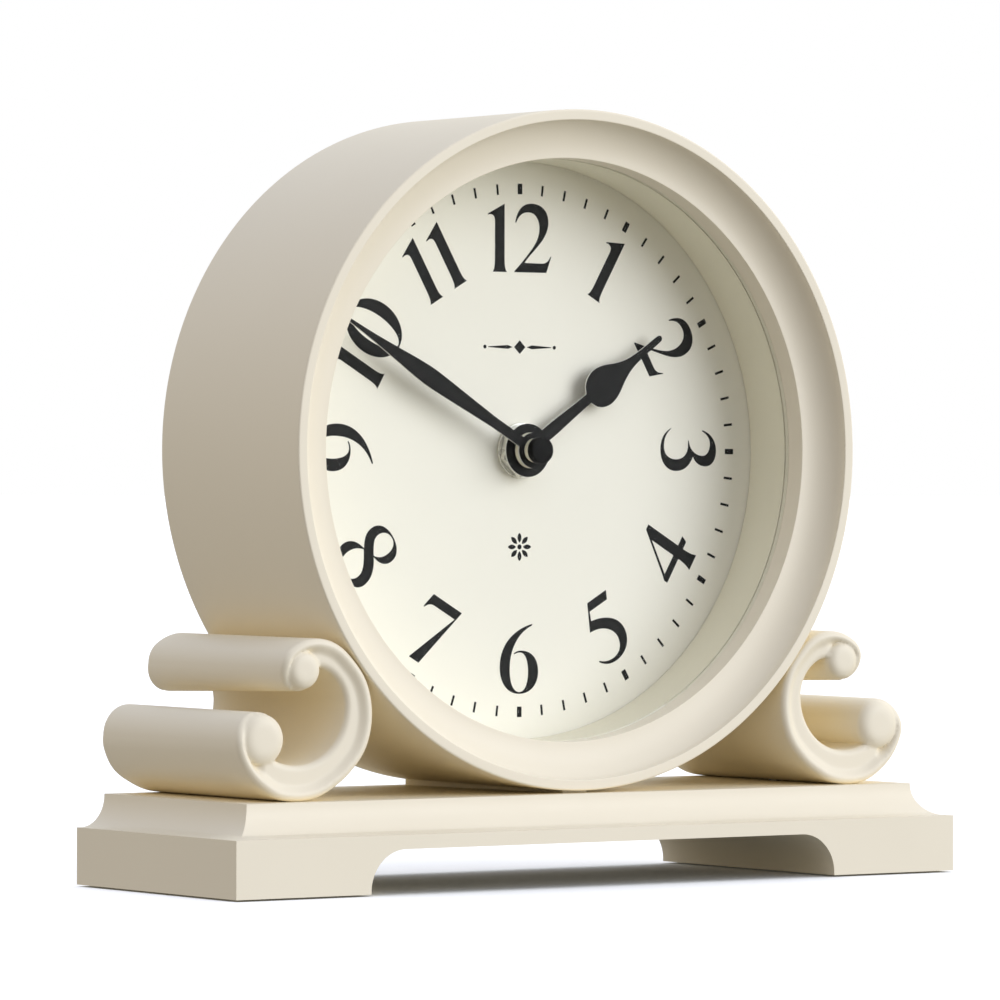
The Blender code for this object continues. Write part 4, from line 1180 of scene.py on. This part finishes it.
def make_camera():
    camera = placed("camera", bpy.data.cameras.new("camera"))
    camera.data.lens = CAMERA_LENS
    camera.data.sensor_width = SENSOR_WIDTH
    camera.matrix_world = (Matrix.Translation(CAMERA_PLACE)
                           @ Matrix.Rotation(math.radians(-CAMERA_TURN), 4, "Z")
                           @ Matrix.Rotation(math.radians(90 - CAMERA_DIP), 4, "X")
                           @ Matrix.Rotation(math.radians(CAMERA_ROLL), 4, "Z"))
    camera.data.clip_start, camera.data.clip_end = 0.05, 500
    bpy.context.scene.camera = camera


def sun(name, energy, width, direction, colour):
    """A soft distant light from a direction; width is its size in degrees."""
    light = placed(name, bpy.data.lights.new(name, "SUN"))
    light.data.energy = energy
    light.data.angle = math.radians(width)
    light.data.color = colour
    light.rotation_euler = Vector(direction).to_track_quat("Z", "Y").to_euler()
    return light


def make_world():
    """Soft light in lobes, and a white backdrop that only the camera sees."""
    world = bpy.data.worlds.new("world")
    bpy.context.scene.world = world
    world.use_nodes = True
    nodes, link = world.node_tree.nodes, world.node_tree.links.new

    def vector_math(operation, *inputs):
        node = nodes.new("ShaderNodeVectorMath")
        node.operation = operation
        for socket, value in zip(node.inputs, inputs):
            if isinstance(value, bpy.types.NodeSocket):
                link(value, socket)
            else:
                socket.default_value = value
        return node

    place = nodes.new("ShaderNodeTexCoord").outputs["Generated"]
    total = (0, 0, 0)
    for direction, colour in SKY_LOBES:
        facing = vector_math("DOT_PRODUCT", place, direction)
        front = nodes.new("ShaderNodeMath")
        front.operation = "MAXIMUM"
        front.inputs[1].default_value = 0
        link(facing.outputs["Value"], front.inputs[0])
        lobe = vector_math("SCALE", colour)
        link(front.outputs[0], lobe.inputs["Scale"])
        total = vector_math("ADD", total, lobe.outputs[0]).outputs[0]
    sky = nodes["Background"]
    link(total, sky.inputs["Color"])
    backdrop = nodes.new("ShaderNodeBackground")
    backdrop.inputs["Color"].default_value = (1, 1, 1, 1)
    mixed = nodes.new("ShaderNodeMixShader")
    link(nodes.new("ShaderNodeLightPath").outputs["Is Camera Ray"], mixed.inputs["Fac"])
    link(sky.outputs[0], mixed.inputs[1])
    link(backdrop.outputs[0], mixed.inputs[2])
    link(mixed.outputs[0], nodes["World Output"].inputs["Surface"])


def staged(name, colour):
    """Names the object just added and gives it an even colour; returns it and its shader."""
    made = bpy.context.active_object
    made.name = name
    material = bpy.data.materials.new(name)
    material.use_nodes = True
    shader = material.node_tree.nodes["Principled BSDF"]
    shader.inputs["Base Color"].default_value = (*colour, 1)
    made.data.materials.append(material)
    return made, shader


def make_floor():
    bpy.ops.mesh.primitive_circle_add(vertices=64, radius=FLOOR_RADIUS, fill_type="NGON")
    floor, shader = staged("floor", FLOOR_COLOUR)
    floor.visible_diffuse = False
    floor.visible_glossy = False
    floor.visible_shadow = False
    shader.inputs["Roughness"].default_value = 1
    shader.inputs["Specular IOR Level"].default_value = 0

    # a dark card below the floor keeps light from coming up through it into the arch
    bpy.ops.mesh.primitive_plane_add(size=1, location=(0, 0, -MM))
    card, _ = staged("dark_card", CARD_COLOUR)
    card.scale = (plinth_high.x * 2 * MM, plinth_high.y * 2 * MM, 1)
    card.visible_camera = False
    card.visible_glossy = False
    return floor


def make_studio():
    make_camera()
    make_world()
    floor = make_floor()
    # the key lights the object only, and a high sun lights the floor only
    key = sun("key", KEY_ENERGY, KEY_WIDTH, KEY_DIRECTION, KEY_COLOUR)
    high = sun("floor_light", FLOOR_ENERGY, FLOOR_LIGHT_WIDTH, (0, 0, 1), FLOOR_LIGHT_COLOUR)
    for light, state in ((key, "EXCLUDE"), (high, "INCLUDE")):
        lit = bpy.data.collections.new(light.name + "_receivers")
        lit.objects.link(floor)
        lit.collection_objects[0].light_linking.link_state = state
        light.light_linking.receiver_collection = lit
    bpy.context.scene.view_settings.view_transform = "Standard"


make_drum()
make_dial_stack()
make_plinth()
make_saddle()
make_scrolls()
make_numerals()
make_minute_track()
make_ornaments()
make_hub()
make_rear_cover()
make_movement_back()
make_cell()
make_soft_parts()
make_knob()
finish_frame_nodes()
make_studio()
